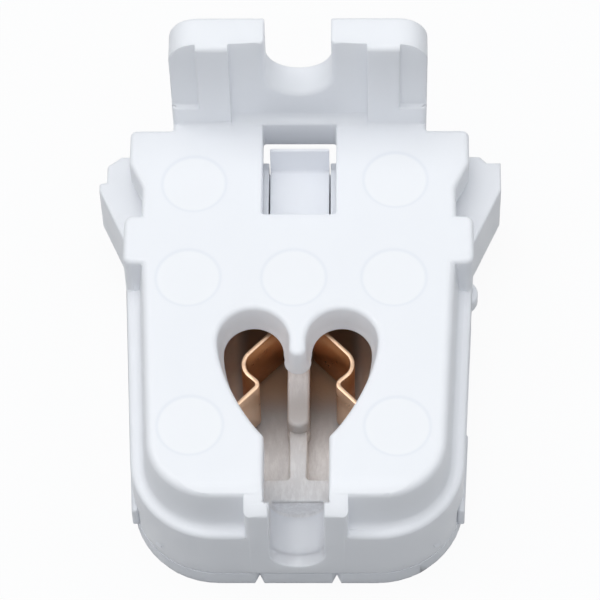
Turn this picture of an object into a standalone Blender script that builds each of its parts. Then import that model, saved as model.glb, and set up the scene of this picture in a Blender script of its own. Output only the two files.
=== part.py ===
import math

import bmesh
import bpy
from mathutils import Matrix, Vector

# Lamp holder for a two-pin fluorescent tube, lying on its back.
# X runs across the holder, Y from the free end, where the tube goes in, to the foot flange,
# and Z from the back to the lamp face. "t" is the distance from the free end along Y.

MM = 0.001

# Driving dimensions: the casing
FACE_PLATE = 3.5 * MM          # thickness of the lamp face
WALL = 1.4 * MM                # side walls
SEAM = 0.3 * MM                # gap between pieces that touch
COVER_PLATE = 2.0 * MM         # thickness of the rear cover
EDGE_ROUND = 0.5 * MM          # rounding of the outer edges
CORNER_ROUND = 0.9 * MM        # rounding of upright corners
STEP = 0.05 * MM               # how far the boss and the full-height part stand proud
WIDE_HALF = 18.75 * MM         # half width of the casing at its widest
END_TAPER = 1.35 * MM          # how much narrower each side is at the free end
END_CORNER = 6.8 * MM          # corner radius at the free end
LEDGE_DROP = 6.5 * MM          # step from the lamp face down to the ledge round it
PAD_START = 1.9 * MM           # t where the raised face begins
PAD_INSET = 1.8 * MM           # casing side to the raised face, at the face
PAD_DRAFT = 0.5 * MM           # how much wider the raised face is at its foot
PAD_CORNER = 5.5 * MM
PAD_ROUND = 0.9 * MM           # rounding of the raised face's edge
LEDGE_FILLET = 0.5 * MM        # hollow blend at the foot of the raised face
PAD_END = 29.7 * MM            # t where the ledge ends and the casing is full height
END_SLOPE_LENGTH = 4.4 * MM    # the face falls away towards the free end
END_SLOPE_DROP = 0.7 * MM
CHEEK = 2.0 * MM               # boss walls on both sides of the entry slot
BOSS_LENGTH = 4.0 * MM

# Driving dimensions: heart opening and entry slot
LOBE_T = 20.25 * MM            # t of the lobes' centres
LOBE_CENTRE = 4.67 * MM        # X of each lobe's centre
LOBE_RADIUS = 3.78 * MM
RIM_ROUND = 0.4 * MM           # rounding where the rim meets the lamp face
RIM_STEP_DEPTH = 2.6 * MM      # depth of the upper rim band
RIM_UPPER_TAPER = 0.2 * MM
RIM_LOWER_TAPER = 0.35 * MM
CUSP_DROP = 2.25 * MM          # lobe centres to the tip between them
CUSP_TIP_HALF = 0.7 * MM
FLANK_BEND = 0.27              # how far the flanks' curve keeps straight at its ends
FLANK_LEAN = 0.55              # how far it leans out above the slot
SLOT_HALF = 3.4 * MM
SLOT_TOP_DROP = 11.4 * MM      # lobe centres to the top of the slot
SLOT_START = 1.3 * MM          # t where the slot reaches its full width
ENTRY_HALF = 2.9 * MM          # half width of the cut in the end wall
ENTRY_DEPTH = 13.1 * MM        # lamp face to the bottom of that cut

# Driving dimensions: head plate, window and foot flange
HEAD_PLATE = 4.0 * MM
UPPER_LENGTH = 5.9 * MM        # end of the ledge to where the sides step in behind the wings
NECK_STEP = 3.4 * MM           # how far the sides step in there
PLATE_OVERHANG = 1.55 * MM     # head plate over the neck, in its notches
SHOULDER_STEP = 0.35 * MM      # casing's side to the shoulder's
SHOULDER_SETBACK = 0.65 * MM   # end of the shoulders to the near face of the flange's ribs
SHOULDER_CORNER = 0.7 * MM     # radius of the shoulders' outer corners
SHOULDER_NOTCH = 3.5 * MM      # straight part of the notch in the shoulder
SHOULDER_SLANT = 3.1 * MM      # slanted part above it
SHOULDER_REST = 4.25 * MM      # straight side of the shoulder
WINDOW_HALF = 4.0 * MM
WINDOW_CORNER = 0.35 * MM
WINDOW_START_SETBACK = 0.1 * MM
WINDOW_SETBACK = 0.1 * MM      # end of the window to the near face of the flange's ribs
FLANGE_HALF = 13.8 * MM
FLANGE_HEIGHT = 14.5 * MM      # above the lamp face
FLANGE_THICK = 3.5 * MM        # in the middle recess
FLANGE_RIB = 0.8 * MM          # how far the ribs stand out of the recess
FLANGE_RECESS_HALF = 7.4 * MM
FLANGE_RIB_WIDTH = 3.45 * MM
FLANGE_POCKET_DEPTH = 0.7 * MM
FLANGE_POCKET_FOOT = 3.0 * MM  # lamp face to the foot of the outer pockets
FLANGE_CORNER = 3.2 * MM
SCREW_NOTCH_HALF = 3.55 * MM
SCREW_NOTCH_DEPTH = 9.7 * MM
SCREW_NOTCH_ROUND = 0.6 * MM   # rounding of its near rim
FOOT_FILLET = 1.2 * MM         # hollow blend at the foot of the flange's recess
RIB_FILLET = 0.5 * MM          # the same at the foot of its ribs
FOOT_BLEND = 0.8 * MM          # slanted blend between the shoulders and the flange

# Driving dimensions: snap wings on the sides
WING_OUT = 3.25 * MM           # how far the wings stand out of the casing's sides
WING_FRONT_DROP = 5.5 * MM     # lamp face to the wing's front
WING_DEPTH = 7.5 * MM
WING_ROOT_RUN = 0.7 * MM       # wing's root below the step in the sides
WING_SLANT = 7.2 * MM
WING_STRAIGHT = 3.5 * MM
WING_LIP = 0.8 * MM
WING_TOP_WIDTH = 1.5 * MM
WING_GAP = 1.1 * MM            # casing to the wing's inner side
WING_ROUND = 0.3 * MM

# Driving dimensions: small marks of the moulding
EJECTOR_DEPTH = 0.12 * MM
EJECTOR_RADIUS = 3.6 * MM
EJECTOR_PLACES = (             # X and t of the round marks on the lamp face
    (-11.1 * MM, 10.0 * MM),
    (10.5 * MM, 9.9 * MM),
    (-11.7 * MM, 27.8 * MM),
    (-0.45 * MM, 27.8 * MM),
    (10.2 * MM, 27.8 * MM),
    (-11.3 * MM, 39.5 * MM),
    (10.4 * MM, 40.0 * MM),
)
SIDE_LUG_T = 30.5 * MM         # rounded lug low on the right side, below the wing
SIDE_LUG_RADIUS = 1.7 * MM
SIDE_LUG_OUT = 0.6 * MM
SIDE_LUG_LOW = 7.0 * MM
SIDE_LUG_HIGH = 9.0 * MM
CATCH_HALF = 0.4 * MM          # small catches at the corners of the free end
CATCH_OUT = 0.25 * MM
CATCH_LOW = 4.0 * MM
CATCH_HIGH = 5.5 * MM

# Driving dimensions: rear cover
CHANNEL_FLOOR = 4.0 * MM       # height of the channel floors above the back
RIB_DROP = 10.0 * MM           # lamp face to the tops of the cross strip and the rib
STRIP_START = 6.2 * MM
STRIP_END = 8.85 * MM
TRAY_HALF = 4.6 * MM
RIB_HALF = 0.95 * MM
POST_HALF = 1.18 * MM
POST_ROUND = 1.0 * MM
POST_EDGE = 0.35 * MM          # rounding of the post's top edge
POST_DROP = 8.3 * MM           # lamp face to the top of the post
POST_START = 14.3 * MM
POST_SETBACK = 0.7 * MM        # end of the post to the place where the strips turn outwards
CHAMBER_CLEARANCE = 1.25 * MM  # side of the contact strip to the chamber's wall
CHAMBER_WALL = 1.2 * MM
CROSS_WALL = 2.5 * MM
TONGUE_HALF = 3.16 * MM
TONGUE_THICK = 1.2 * MM
TONGUE_ROOT_RUN = 3.1 * MM     # tongue's root below the step in the sides
TONGUE_ROOT_LENGTH = 2.2 * MM
TONGUE_SETBACK = 3.3 * MM      # ridge of the tongue's hook to the end of the window
TONGUE_HOOK_RISE = 3.1 * MM
TONGUE_HOOK_RUN = 1.0 * MM
TONGUE_TIP = 0.35 * MM         # blunt tip of the hook
GUIDE_THICK = 1.2 * MM         # guide walls on both sides of the tongue
CLIP_THICK = 0.8 * MM
CLIP_PROUD = 0.2 * MM          # how far the side clips stand out of the casing
CLIP_CHAMFER = 0.4 * MM
CLIP_START = 6.0 * MM
CLIP_END = 15.2 * MM
CLIP_HEIGHT = 5.2 * MM
TAB_HALF = 3.6 * MM            # middle tab of the cover's free end
TAB_NOTCH = 1.0 * MM

# Driving dimensions: contacts
STRIP_THICK = 0.5 * MM
STRIP_BASE = 4.7 * MM          # height of the strip's rear edge
STRIP_WIDTH = 8.0 * MM
STRIP_CLEARANCE = 0.8 * MM     # strip's front edge to the underside of the face
BUMP_X = 4.02 * MM
BUMP_DROP = 3.0 * MM           # lobe centres to the notch that holds the pin
BUMP_BEND = 0.65 * MM
POCKET_X = 6.62 * MM
POCKET_DROP = 0.7 * MM
POCKET_BEND = 1.9 * MM
TAIL_X = 6.9 * MM
TAIL_BEND_DROP = 6.0 * MM
TAIL_END_DROP = 9.6 * MM
UPPER_BEND_RISE = 4.4 * MM
STRIP_RUN = 4.25 * MM          # straight stretch beside the post
TURN_RUN = 2.1 * MM            # slanted stretch out to the terminal
TERMINAL_X = 6.4 * MM
TERMINAL_LENGTH = 8.8 * MM
TERMINAL_WIDTH = 6.2 * MM
TERMINAL_SETBACK = 2.5 * MM    # terminal to the cross wall
CLAMP_LENGTH = 6.4 * MM
CLAMP_SLIT = 0.6 * MM
STRIP_BEND = 0.8 * MM
WIRE_HOLE = 2.0 * MM
WIRE_ENTRY = 2.6 * MM
WIRE_FUNNEL = 3.8 * MM

# Places worked out from the driving dimensions
STRIP_TOP = STRIP_BASE + STRIP_WIDTH
FACE_UNDERSIDE = STRIP_TOP + STRIP_CLEARANCE
FACE_HEIGHT = FACE_UNDERSIDE + FACE_PLATE
SEAM_TOP = COVER_PLATE + SEAM
LEDGE_HEIGHT = FACE_HEIGHT - LEDGE_DROP
END_HALF = WIDE_HALF - END_TAPER
NECK_HALF = WIDE_HALF - NECK_STEP
SHOULDER_HALF = WIDE_HALF - SHOULDER_STEP
HEAD_START = PAD_END + UPPER_LENGTH
SHOULDER_END = HEAD_START + SHOULDER_NOTCH + SHOULDER_SLANT + SHOULDER_REST
RIB_T = SHOULDER_END + SHOULDER_SETBACK
RECESS_T = RIB_T + FLANGE_RIB
LENGTH = RECESS_T + FLANGE_THICK
HEAD_UNDERSIDE = FACE_HEIGHT - HEAD_PLATE
FLANGE_TOP = FACE_HEIGHT + FLANGE_HEIGHT
WINDOW_START = HEAD_START + WINDOW_START_SETBACK
WINDOW_END = RIB_T - WINDOW_SETBACK
WING_ROOT_T = HEAD_START - WING_ROOT_RUN
WING_SHOULDER_T = WING_ROOT_T + WING_SLANT
WING_TOP_T = WING_SHOULDER_T + WING_STRAIGHT
TONGUE_ROOT_T = HEAD_START - TONGUE_ROOT_RUN
TONGUE_RIDGE_T = WINDOW_END - TONGUE_SETBACK
WING_REACH = WIDE_HALF + WING_OUT
WING_INNER = NECK_HALF + WING_GAP
BOSS_HALF = SLOT_HALF + CHEEK
ENTRY_BOTTOM = FACE_HEIGHT - ENTRY_DEPTH
RIB_HEIGHT = FACE_HEIGHT - RIB_DROP
POST_HEIGHT = FACE_HEIGHT - POST_DROP
STRIP_MIDDLE = STRIP_BASE + STRIP_WIDTH / 2
WIRE_PITCH = STRIP_WIDTH / 2
TERMINAL_TURN_T = LOBE_T + UPPER_BEND_RISE + STRIP_RUN
TERMINAL_START_T = TERMINAL_TURN_T + TURN_RUN
TERMINAL_END_T = TERMINAL_START_T + TERMINAL_LENGTH
CLAMP_TIP_T = TERMINAL_END_T - CLAMP_LENGTH
POST_END = TERMINAL_TURN_T - POST_SETBACK
CHAMBER_END = TERMINAL_TURN_T + SEAM
CHAMBER_HALF = TAIL_X + STRIP_THICK / 2 + CHAMBER_CLEARANCE + CHAMBER_WALL
BODY_END = TERMINAL_END_T + TERMINAL_SETBACK + CROSS_WALL
PAST = 5.0 * MM                # how far a cutter runs past what it cuts
ARC_STEPS = 8                  # facets in a quarter turn
EDGE_STEPS = 2                 # facets across a rounded edge
SMOOTH_BELOW = 32              # degrees between facets that still shade as one surface
STRETCH_LIMIT = 0.3            # keeps a sharp corner from running away when it is inset


def clear_scene():
    for obj in list(bpy.data.objects):
        bpy.data.objects.remove(obj, do_unlink=True)


def new_collection(name):
    collection = bpy.data.collections.new(name)
    bpy.context.scene.collection.children.link(collection)
    return collection


def surface_finish(name, colour, roughness, metallic=0.0):
    material = bpy.data.materials.new(name)
    material.use_nodes = True
    shader = material.node_tree.nodes["Principled BSDF"]
    shader.inputs["Base Color"].default_value = (*colour, 1.0)
    shader.inputs["Roughness"].default_value = roughness
    shader.inputs["Metallic"].default_value = metallic
    return material


clear_scene()
PARTS = new_collection("fluorescent_lamp_holder")
CUTTERS = new_collection("cutters")
ORIGIN = bpy.data.objects.new("free_end", None)
PARTS.objects.link(ORIGIN)
ORIGIN.location = (0.0, -LENGTH / 2, 0.0)


def place(obj, collection):
    """Links an object and hangs it on the empty at the free end."""
    collection.objects.link(obj)
    obj.parent = ORIGIN
    return obj


def arc(centre, radius, start, end, steps):
    """Points along an arc, angles in degrees."""
    points = []
    for index in range(steps + 1):
        angle = math.radians(start + (end - start) * index / steps)
        points.append((centre[0] + radius * math.cos(angle), centre[1] + radius * math.sin(angle)))
    return points


def full_circle(centre, radius):
    return arc(centre, radius, 0, 360, 4 * ARC_STEPS)[:-1]


def rounded(corners, closed=True):
    """A polyline or outline whose corners (x, y, radius) are rounded by arcs."""
    points = []
    count = len(corners)
    for index, (x, y, radius) in enumerate(corners):
        is_end = not closed and index in (0, count - 1)
        if radius == 0 or is_end:
            points.append((x, y))
            continue
        here = Vector((x, y))
        before = (Vector(corners[index - 1][:2]) - here).normalized()
        after = (Vector(corners[(index + 1) % count][:2]) - here).normalized()
        half = before.angle(after) / 2
        centre = here + (before + after).normalized() * (radius / math.sin(half))
        first = here + before * (radius / math.tan(half)) - centre
        turn = math.pi - 2 * half
        if first.x * before.y - first.y * before.x > 0:
            turn = -turn
        steps = max(2, round(ARC_STEPS * abs(turn) / (math.pi / 2)))
        for step in range(steps + 1):
            spoke = Matrix.Rotation(turn * step / steps, 2) @ first
            points.append(tuple(centre + spoke))
    return points


def mirrored(right_side):
    """Closes an outline given from its lowest to its highest point on the +X side."""
    return right_side + [(-x, y, *rest) for x, y, *rest in reversed(right_side)]


def finish_mesh(mesh):
    bm = bmesh.new()
    bm.from_mesh(mesh)
    bmesh.ops.remove_doubles(bm, verts=bm.verts, dist=1e-6)
    bmesh.ops.recalc_face_normals(bm, faces=bm.faces)
    bm.to_mesh(mesh)
    bm.free()
    mesh.shade_smooth()
    mesh.set_sharp_from_angle(angle=math.radians(SMOOTH_BELOW))


def extruded(name, points, low, high, collection=CUTTERS):
    """A flat outline in XY, extruded from one height to another."""
    curve = bpy.data.curves.new(name, "CURVE")
    curve.dimensions = "2D"
    curve.fill_mode = "BOTH"
    curve.extrude = (high - low) / 2
    spline = curve.splines.new("POLY")
    spline.points.add(len(points) - 1)
    spline.use_cyclic_u = True
    for point, (x, y) in zip(spline.points, points):
        point.co = (x, y, 0.0, 1.0)
    outline = bpy.data.objects.new(name + "_outline", curve)
    bpy.context.scene.collection.objects.link(outline)
    bpy.context.view_layer.update()
    mesh = bpy.data.meshes.new_from_object(outline.evaluated_get(bpy.context.evaluated_depsgraph_get()))
    bpy.data.objects.remove(outline)
    bpy.data.curves.remove(curve)
    mesh.transform(Matrix.Translation((0.0, 0.0, (low + high) / 2)))
    mesh.name = name
    finish_mesh(mesh)
    return place(bpy.data.objects.new(name, mesh), collection)


def stood_up(obj):
    """Turns a mesh made in XY with height -t so that its outline lies in XZ."""
    obj.data.transform(Matrix.Rotation(math.radians(90), 4, "X"))
    return obj


def extruded_along_y(name, points, start, end, collection=CUTTERS):
    """A flat outline in XZ, extruded from one t to another."""
    return stood_up(extruded(name, points, -end, -start, collection))


def extruded_along_x(name, points, low, high, collection=CUTTERS):
    """A flat outline given as (t, z), extruded across the holder."""
    obj = extruded(name, points, low, high, collection)
    turn = Matrix(((0, 0, 1, 0), (1, 0, 0, 0), (0, 1, 0, 0), (0, 0, 0, 1)))
    obj.data.transform(turn)
    return obj


def lofted(name, sections, collection=CUTTERS):
    """Joins outlines of equal point count, given as (points, height), into one solid."""
    bm = bmesh.new()
    rings = []
    for points, height in sections:
        rings.append([bm.verts.new((x, y, height)) for x, y in points])
    for lower, upper in zip(rings, rings[1:]):
        for index in range(len(lower)):
            after = (index + 1) % len(lower)
            bm.faces.new((lower[index], lower[after], upper[after], upper[index]))
    bmesh.ops.triangulate(bm, faces=bm.faces)
    bm.faces.new(rings[0])
    bm.faces.new(rings[-1])
    mesh = bpy.data.meshes.new(name)
    bm.to_mesh(mesh)
    bm.free()
    finish_mesh(mesh)
    return place(bpy.data.objects.new(name, mesh), collection)


def block(name, x_range, t_range, z_range, collection=CUTTERS):
    """A box between two corners."""
    bm = bmesh.new()
    bmesh.ops.create_cube(bm, size=1.0)
    low = Vector((x_range[0], t_range[0], z_range[0]))
    high = Vector((x_range[1], t_range[1], z_range[1]))
    bmesh.ops.scale(bm, vec=high - low, verts=bm.verts)
    bmesh.ops.translate(bm, vec=(low + high) / 2, verts=bm.verts)
    mesh = bpy.data.meshes.new(name)
    bm.to_mesh(mesh)
    bm.free()
    return place(bpy.data.objects.new(name, mesh), collection)


def cone_along_y(name, radius_start, radius_end, t_range, x, z, sides=24):
    """A round cutter or pin along the holder."""
    bm = bmesh.new()
    length = t_range[1] - t_range[0]
    bmesh.ops.create_cone(bm, cap_ends=True, segments=sides, radius1=radius_start, radius2=radius_end,
                          depth=length)
    bmesh.ops.rotate(bm, verts=bm.verts, matrix=Matrix.Rotation(math.radians(-90), 3, "X"))
    bmesh.ops.translate(bm, vec=(x, (t_range[0] + t_range[1]) / 2, z), verts=bm.verts)
    mesh = bpy.data.meshes.new(name)
    bm.to_mesh(mesh)
    bm.free()
    return place(bpy.data.objects.new(name, mesh), CUTTERS)


def inset(points, amount):
    """Moves an outline inwards by an amount, corner by corner."""
    count = len(points)
    area = sum(points[i - 1][0] * points[i][1] - points[i][0] * points[i - 1][1] for i in range(count))
    inward = 1 if area > 0 else -1
    moved = []
    for index in range(count):
        here = Vector(points[index])
        before = (here - Vector(points[index - 1])).normalized()
        after = (Vector(points[(index + 1) % count]) - here).normalized()
        normal = Vector((-before.y - after.y, before.x + after.x)).normalized()
        stretch = max(normal.dot(Vector((-before.y, before.x))), STRETCH_LIMIT)
        moved.append(tuple(here + normal * (inward * amount / stretch)))
    return moved


def rounded_top(points, low, high, radius, draft=0.0):
    """Sections for a loft whose upper edge is rounded; draft widens its foot."""
    sections = [(inset(points, -draft), low), (points, high - radius)]
    for step in range(1, EDGE_STEPS + 1):
        angle = math.radians(90) * step / EDGE_STEPS
        moved = inset(points, radius * (1 - math.cos(angle)))
        sections.append((moved, high - radius * (1 - math.sin(angle))))
    return sections


def rounded_both(points, low, high, radius):
    """Sections for a loft whose lower and upper edges are both rounded."""
    upper = rounded_top(points, low + radius, high, radius)[1:]
    lower = [(outline, low + high - height) for outline, height in reversed(upper)]
    return lower + upper


def flared_top(sections, high, radius):
    """Lets the last section of a cutter widen, which rounds the rim that it leaves."""
    points = sections[-1][0]
    rim = []
    for step in range(1, EDGE_STEPS + 1):
        angle = math.radians(90) * step / EDGE_STEPS
        moved = inset(points, radius * (math.cos(angle) - 1))
        rim.append((moved, high - radius * (1 - math.sin(angle))))
    return sections + rim + [(rim[-1][0], high + PAST)]


def combine(obj, others, operation):
    for other in others:
        boolean = obj.modifiers.new(other.name, "BOOLEAN")
        boolean.operation = operation
        boolean.object = other
        boolean.solver = "EXACT"
        other.hide_render = True
        other.display_type = "WIRE"
    return obj


def casing_half(t):
    """Half width of the casing's tapered side at a distance from the free end."""
    return END_HALF + (WIDE_HALF - STEP - END_HALF) * t / PAD_END


def bezier(first, handle_a, handle_b, last, steps):
    points = []
    for index in range(1, steps):
        s = index / steps
        a, b = 1 - s, s
        x = a**3 * first[0] + 3 * a * a * b * handle_a[0] + 3 * a * b * b * handle_b[0] + b**3 * last[0]
        y = a**3 * first[1] + 3 * a * a * b * handle_a[1] + 3 * a * b * b * handle_b[1] + b**3 * last[1]
        points.append((x, y))
    return points


def heart_outline(taper):
    """Two lobes with a cusp between them, running down into the entry slot."""
    radius = LOBE_RADIUS - taper
    slot_top = LOBE_T - SLOT_TOP_DROP
    tip_half = CUSP_TIP_HALF + taper / 2
    tip_t = LOBE_T - CUSP_DROP - taper / 2
    side = (LOBE_CENTRE + radius, LOBE_T)
    corner = (SLOT_HALF, slot_top)
    drop = side[1] - corner[1]
    handle_a = (side[0], side[1] - FLANK_BEND * drop)
    handle_b = (corner[0] + FLANK_LEAN * (side[0] - corner[0]), corner[1] + FLANK_BEND * drop)
    right = [(SLOT_HALF, SLOT_START), corner]
    right += reversed(bezier(side, handle_a, handle_b, corner, ARC_STEPS))
    right += arc((LOBE_CENTRE, LOBE_T), radius, 0, 180, 2 * ARC_STEPS)
    right += [(tip_half, tip_t)]
    return mirrored(right)


def build_housing():
    sections = rounded_top(casing_outline(), SEAM_TOP, LEDGE_HEIGHT, EDGE_ROUND)
    shell = lofted("front_housing", sections, PARTS)
    pad = lofted("raised_face", raised_face_sections())
    upper = lofted("upper_casing", rounded_top(upper_outline(), SEAM_TOP, FACE_HEIGHT, EDGE_ROUND))
    sections = rounded_top(shoulder_outline(), HEAD_UNDERSIDE, FACE_HEIGHT, EDGE_ROUND)
    shoulders = lofted("shoulders", sections)
    boss = lofted("entry_boss", rounded_top(boss_outline(), SEAM_TOP + STEP, FACE_HEIGHT, EDGE_ROUND))
    foot = lofted("foot", rounded_top(foot_outline(), HEAD_UNDERSIDE + STEP, FACE_HEIGHT, EDGE_ROUND))
    adds = [pad, upper, shoulders, boss, foot, foot_flange(), side_lug()]
    adds += foot_fillets() + snap_wings() + corner_catches()
    combine(shell, adds, "UNION")

    lower_room = extruded("lower_room", inset(casing_outline(), WALL), -PAST, LEDGE_HEIGHT - WALL)
    upper_room = extruded("upper_room", inset(pad_outline(), WALL), LEDGE_HEIGHT - 2 * WALL, FACE_UNDERSIDE)
    head_room = block("head_room", (WALL - NECK_HALF, NECK_HALF - WALL), (PAD_END - WALL, LENGTH + PAST),
                      (-PAST, HEAD_UNDERSIDE))
    cuts = [end_slope_cutter(), lower_room, upper_room, head_room, heart_cutter(), entry_cutter()]
    cuts += [window_cutter()] + ejector_marks() + clip_recesses()
    combine(shell, cuts, "DIFFERENCE")
    shell.data.materials.append(surface_finish("housing_plastic", (0.86, 0.87, 0.91), 0.35))


def casing_outline():
    """The casing up to where its ledge ends, run on inside the full-height part."""
    side = [
        (END_HALF, STEP, END_CORNER),
        (casing_half(PAD_END + CORNER_ROUND), PAD_END + CORNER_ROUND, 0),
        (NECK_HALF - WALL / 2, HEAD_START - WALL / 2, 0),
    ]
    return rounded(mirrored(side))


def pad_outline():
    """The raised face; its far end lies inside the full-height part."""
    far = PAD_END + 2 * WALL
    side = [
        (END_HALF - PAD_INSET, PAD_START, PAD_CORNER),
        (casing_half(PAD_END) - PAD_INSET, far, 0),
    ]
    return rounded(mirrored(side))


def raised_face_sections():
    """Hollow blend at the foot of the raised face, drafted sides and a rounded top."""
    outline = pad_outline()
    foot = inset(outline, -PAD_DRAFT - LEDGE_FILLET)
    sections = [(foot, SEAM_TOP + WALL), (foot, LEDGE_HEIGHT - STEP)]
    for step in range(1, EDGE_STEPS + 1):
        angle = math.radians(90) * step / EDGE_STEPS
        moved = inset(outline, -PAD_DRAFT - LEDGE_FILLET * (1 - math.sin(angle)))
        sections.append((moved, LEDGE_HEIGHT + LEDGE_FILLET * (1 - math.cos(angle))))
    return sections + rounded_top(outline, LEDGE_HEIGHT, FACE_HEIGHT, PAD_ROUND)[1:]


def boss_outline():
    """The block round the entry slot, flush with the end wall."""
    side = [(BOSS_HALF, 0.0, EDGE_ROUND), (BOSS_HALF, BOSS_LENGTH, 0)]
    return rounded(mirrored(side))


def foot_outline():
    """The strip between the shoulders and the flange, slanted at its sides."""
    half = FLANGE_HALF - STEP
    side = [
        (half + FOOT_BLEND, SHOULDER_END - WALL),
        (half + FOOT_BLEND, SHOULDER_END - EDGE_ROUND),
        (half, SHOULDER_END - EDGE_ROUND + FOOT_BLEND),
        (half, RECESS_T + WALL),
    ]
    return mirrored(side)


def upper_outline():
    """The full-height part and the narrower neck between the wings."""
    side = [
        (WIDE_HALF, PAD_END, CORNER_ROUND),
        (WIDE_HALF, HEAD_START, CORNER_ROUND),
        (NECK_HALF, HEAD_START, 0),
        (NECK_HALF, BODY_END, 0),
    ]
    return rounded(mirrored(side))


def shoulder_outline():
    """The head plate, notched at its sides to let the wings spring in."""
    notch_half = NECK_HALF + PLATE_OVERHANG
    side = [
        (notch_half, HEAD_START - WALL, 0),
        (notch_half, HEAD_START + SHOULDER_NOTCH, 0),
        (SHOULDER_HALF, HEAD_START + SHOULDER_NOTCH + SHOULDER_SLANT, 0),
        (SHOULDER_HALF, SHOULDER_END, SHOULDER_CORNER),
    ]
    return rounded(mirrored(side))


def heart_cutter():
    """The heart-shaped opening: a rounded rim, then two bands that step inwards."""
    low_outline = heart_outline(RIM_UPPER_TAPER + RIM_LOWER_TAPER)
    sections = [
        (low_outline, FACE_UNDERSIDE - WALL),
        (low_outline, FACE_UNDERSIDE - STEP),
        (heart_outline(RIM_UPPER_TAPER), FACE_HEIGHT - RIM_STEP_DEPTH),
        (heart_outline(0), FACE_HEIGHT - RIM_ROUND),
    ]
    return lofted("heart_opening", flared_top(sections, FACE_HEIGHT, RIM_ROUND))


def window_cutter():
    """The window over the hook of the tongue."""
    side = [(WINDOW_HALF, WINDOW_START, WINDOW_CORNER), (WINDOW_HALF, WINDOW_END, WINDOW_CORNER)]
    return extruded("window", rounded(mirrored(side)), HEAD_UNDERSIDE - PAST, FACE_HEIGHT + PAST)


def ejector_marks():
    """Shallow round marks that the mould's pins leave on the lamp face."""
    marks = []
    floor = FACE_HEIGHT - EJECTOR_DEPTH
    for index, centre in enumerate(EJECTOR_PLACES):
        circle = full_circle(centre, EJECTOR_RADIUS)
        marks.append(extruded(f"ejector_mark_{index}", circle, floor, FACE_HEIGHT + PAST))
    return marks


def entry_cutter():
    """The round-bottomed cut through the boss and the end wall."""
    centre = (0.0, ENTRY_BOTTOM + ENTRY_HALF)
    top = FACE_HEIGHT + PAST
    outline = arc(centre, ENTRY_HALF, 180, 360, 2 * ARC_STEPS)
    outline += [(ENTRY_HALF, top), (-ENTRY_HALF, top)]
    return extruded_along_y("entry_cut", outline, -PAST, BOSS_LENGTH + WALL)


def end_slope_cutter():
    """Takes the slope off the lamp face at its free end."""
    run = END_SLOPE_LENGTH
    fall = END_SLOPE_DROP / END_SLOPE_LENGTH
    outline = [
        (run + PAST, FACE_HEIGHT + fall * PAST),
        (-PAST, FACE_HEIGHT - fall * (run + PAST)),
        (-PAST, FACE_HEIGHT + PAST),
        (run + PAST, FACE_HEIGHT + PAST),
    ]
    return extruded_along_x("end_slope", outline, -2 * WIDE_HALF, 2 * WIDE_HALF)


def foot_flange():
    """The upright flange with its screw notch, ribs and pockets."""
    side = [
        (FLANGE_HALF, HEAD_UNDERSIDE, CORNER_ROUND),
        (FLANGE_HALF, FLANGE_TOP, FLANGE_CORNER),
    ]
    outline = rounded(mirrored(side))
    flange = stood_up(lofted("foot_flange", rounded_both(outline, -LENGTH, -RIB_T, EDGE_ROUND)))
    notch_centre = FLANGE_TOP - SCREW_NOTCH_DEPTH + SCREW_NOTCH_HALF
    notch = arc((0.0, notch_centre), SCREW_NOTCH_HALF, 180, 360, 2 * ARC_STEPS)
    notch += [(SCREW_NOTCH_HALF, FLANGE_TOP + PAST), (-SCREW_NOTCH_HALF, FLANGE_TOP + PAST)]
    sections = [(notch, -LENGTH - PAST), (notch, -RECESS_T - SCREW_NOTCH_ROUND)]
    cuts = [stood_up(lofted("screw_notch", flared_top(sections, -RECESS_T, SCREW_NOTCH_ROUND)))]
    cuts.append(block("flange_recess", (-FLANGE_RECESS_HALF, FLANGE_RECESS_HALF), (RIB_T - PAST, RECESS_T),
                      (FACE_HEIGHT - WALL, FLANGE_TOP + PAST)))
    pocket_x = FLANGE_RECESS_HALF + FLANGE_RIB_WIDTH
    pocket_t = RIB_T + FLANGE_POCKET_DEPTH
    pocket_z = FACE_HEIGHT + FLANGE_POCKET_FOOT
    for side_name, sign in (("left", -1), ("right", 1)):
        side_x = sorted((sign * pocket_x, sign * (FLANGE_HALF + PAST)))
        cuts.append(block("flange_pocket_" + side_name, side_x, (RIB_T - PAST, pocket_t),
                          (pocket_z, FLANGE_TOP + PAST)))
    return combine(flange, cuts, "DIFFERENCE")


def foot_fillets():
    """Hollow blends where the flange's recess and ribs rise out of the lamp face."""
    rib_end = FLANGE_HALF - EDGE_ROUND
    recess_end = FLANGE_RECESS_HALF + STEP
    fillets = []
    for name, t, radius, low, high in (
            ("recess_fillet", RECESS_T, FOOT_FILLET, -recess_end, recess_end),
            ("rib_fillet_left", RIB_T, RIB_FILLET, -rib_end, -FLANGE_RECESS_HALF),
            ("rib_fillet_right", RIB_T, RIB_FILLET, FLANGE_RECESS_HALF, rib_end)):
        outline = arc((t - radius, FACE_HEIGHT + radius), radius, -90, 0, ARC_STEPS // 2)
        outline += [(t + STEP, FACE_HEIGHT + radius), (t + STEP, FACE_HEIGHT - STEP)]
        outline.append((t - radius, FACE_HEIGHT - STEP))
        fillets.append(extruded_along_x(name, outline, low, high))
    return fillets


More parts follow.
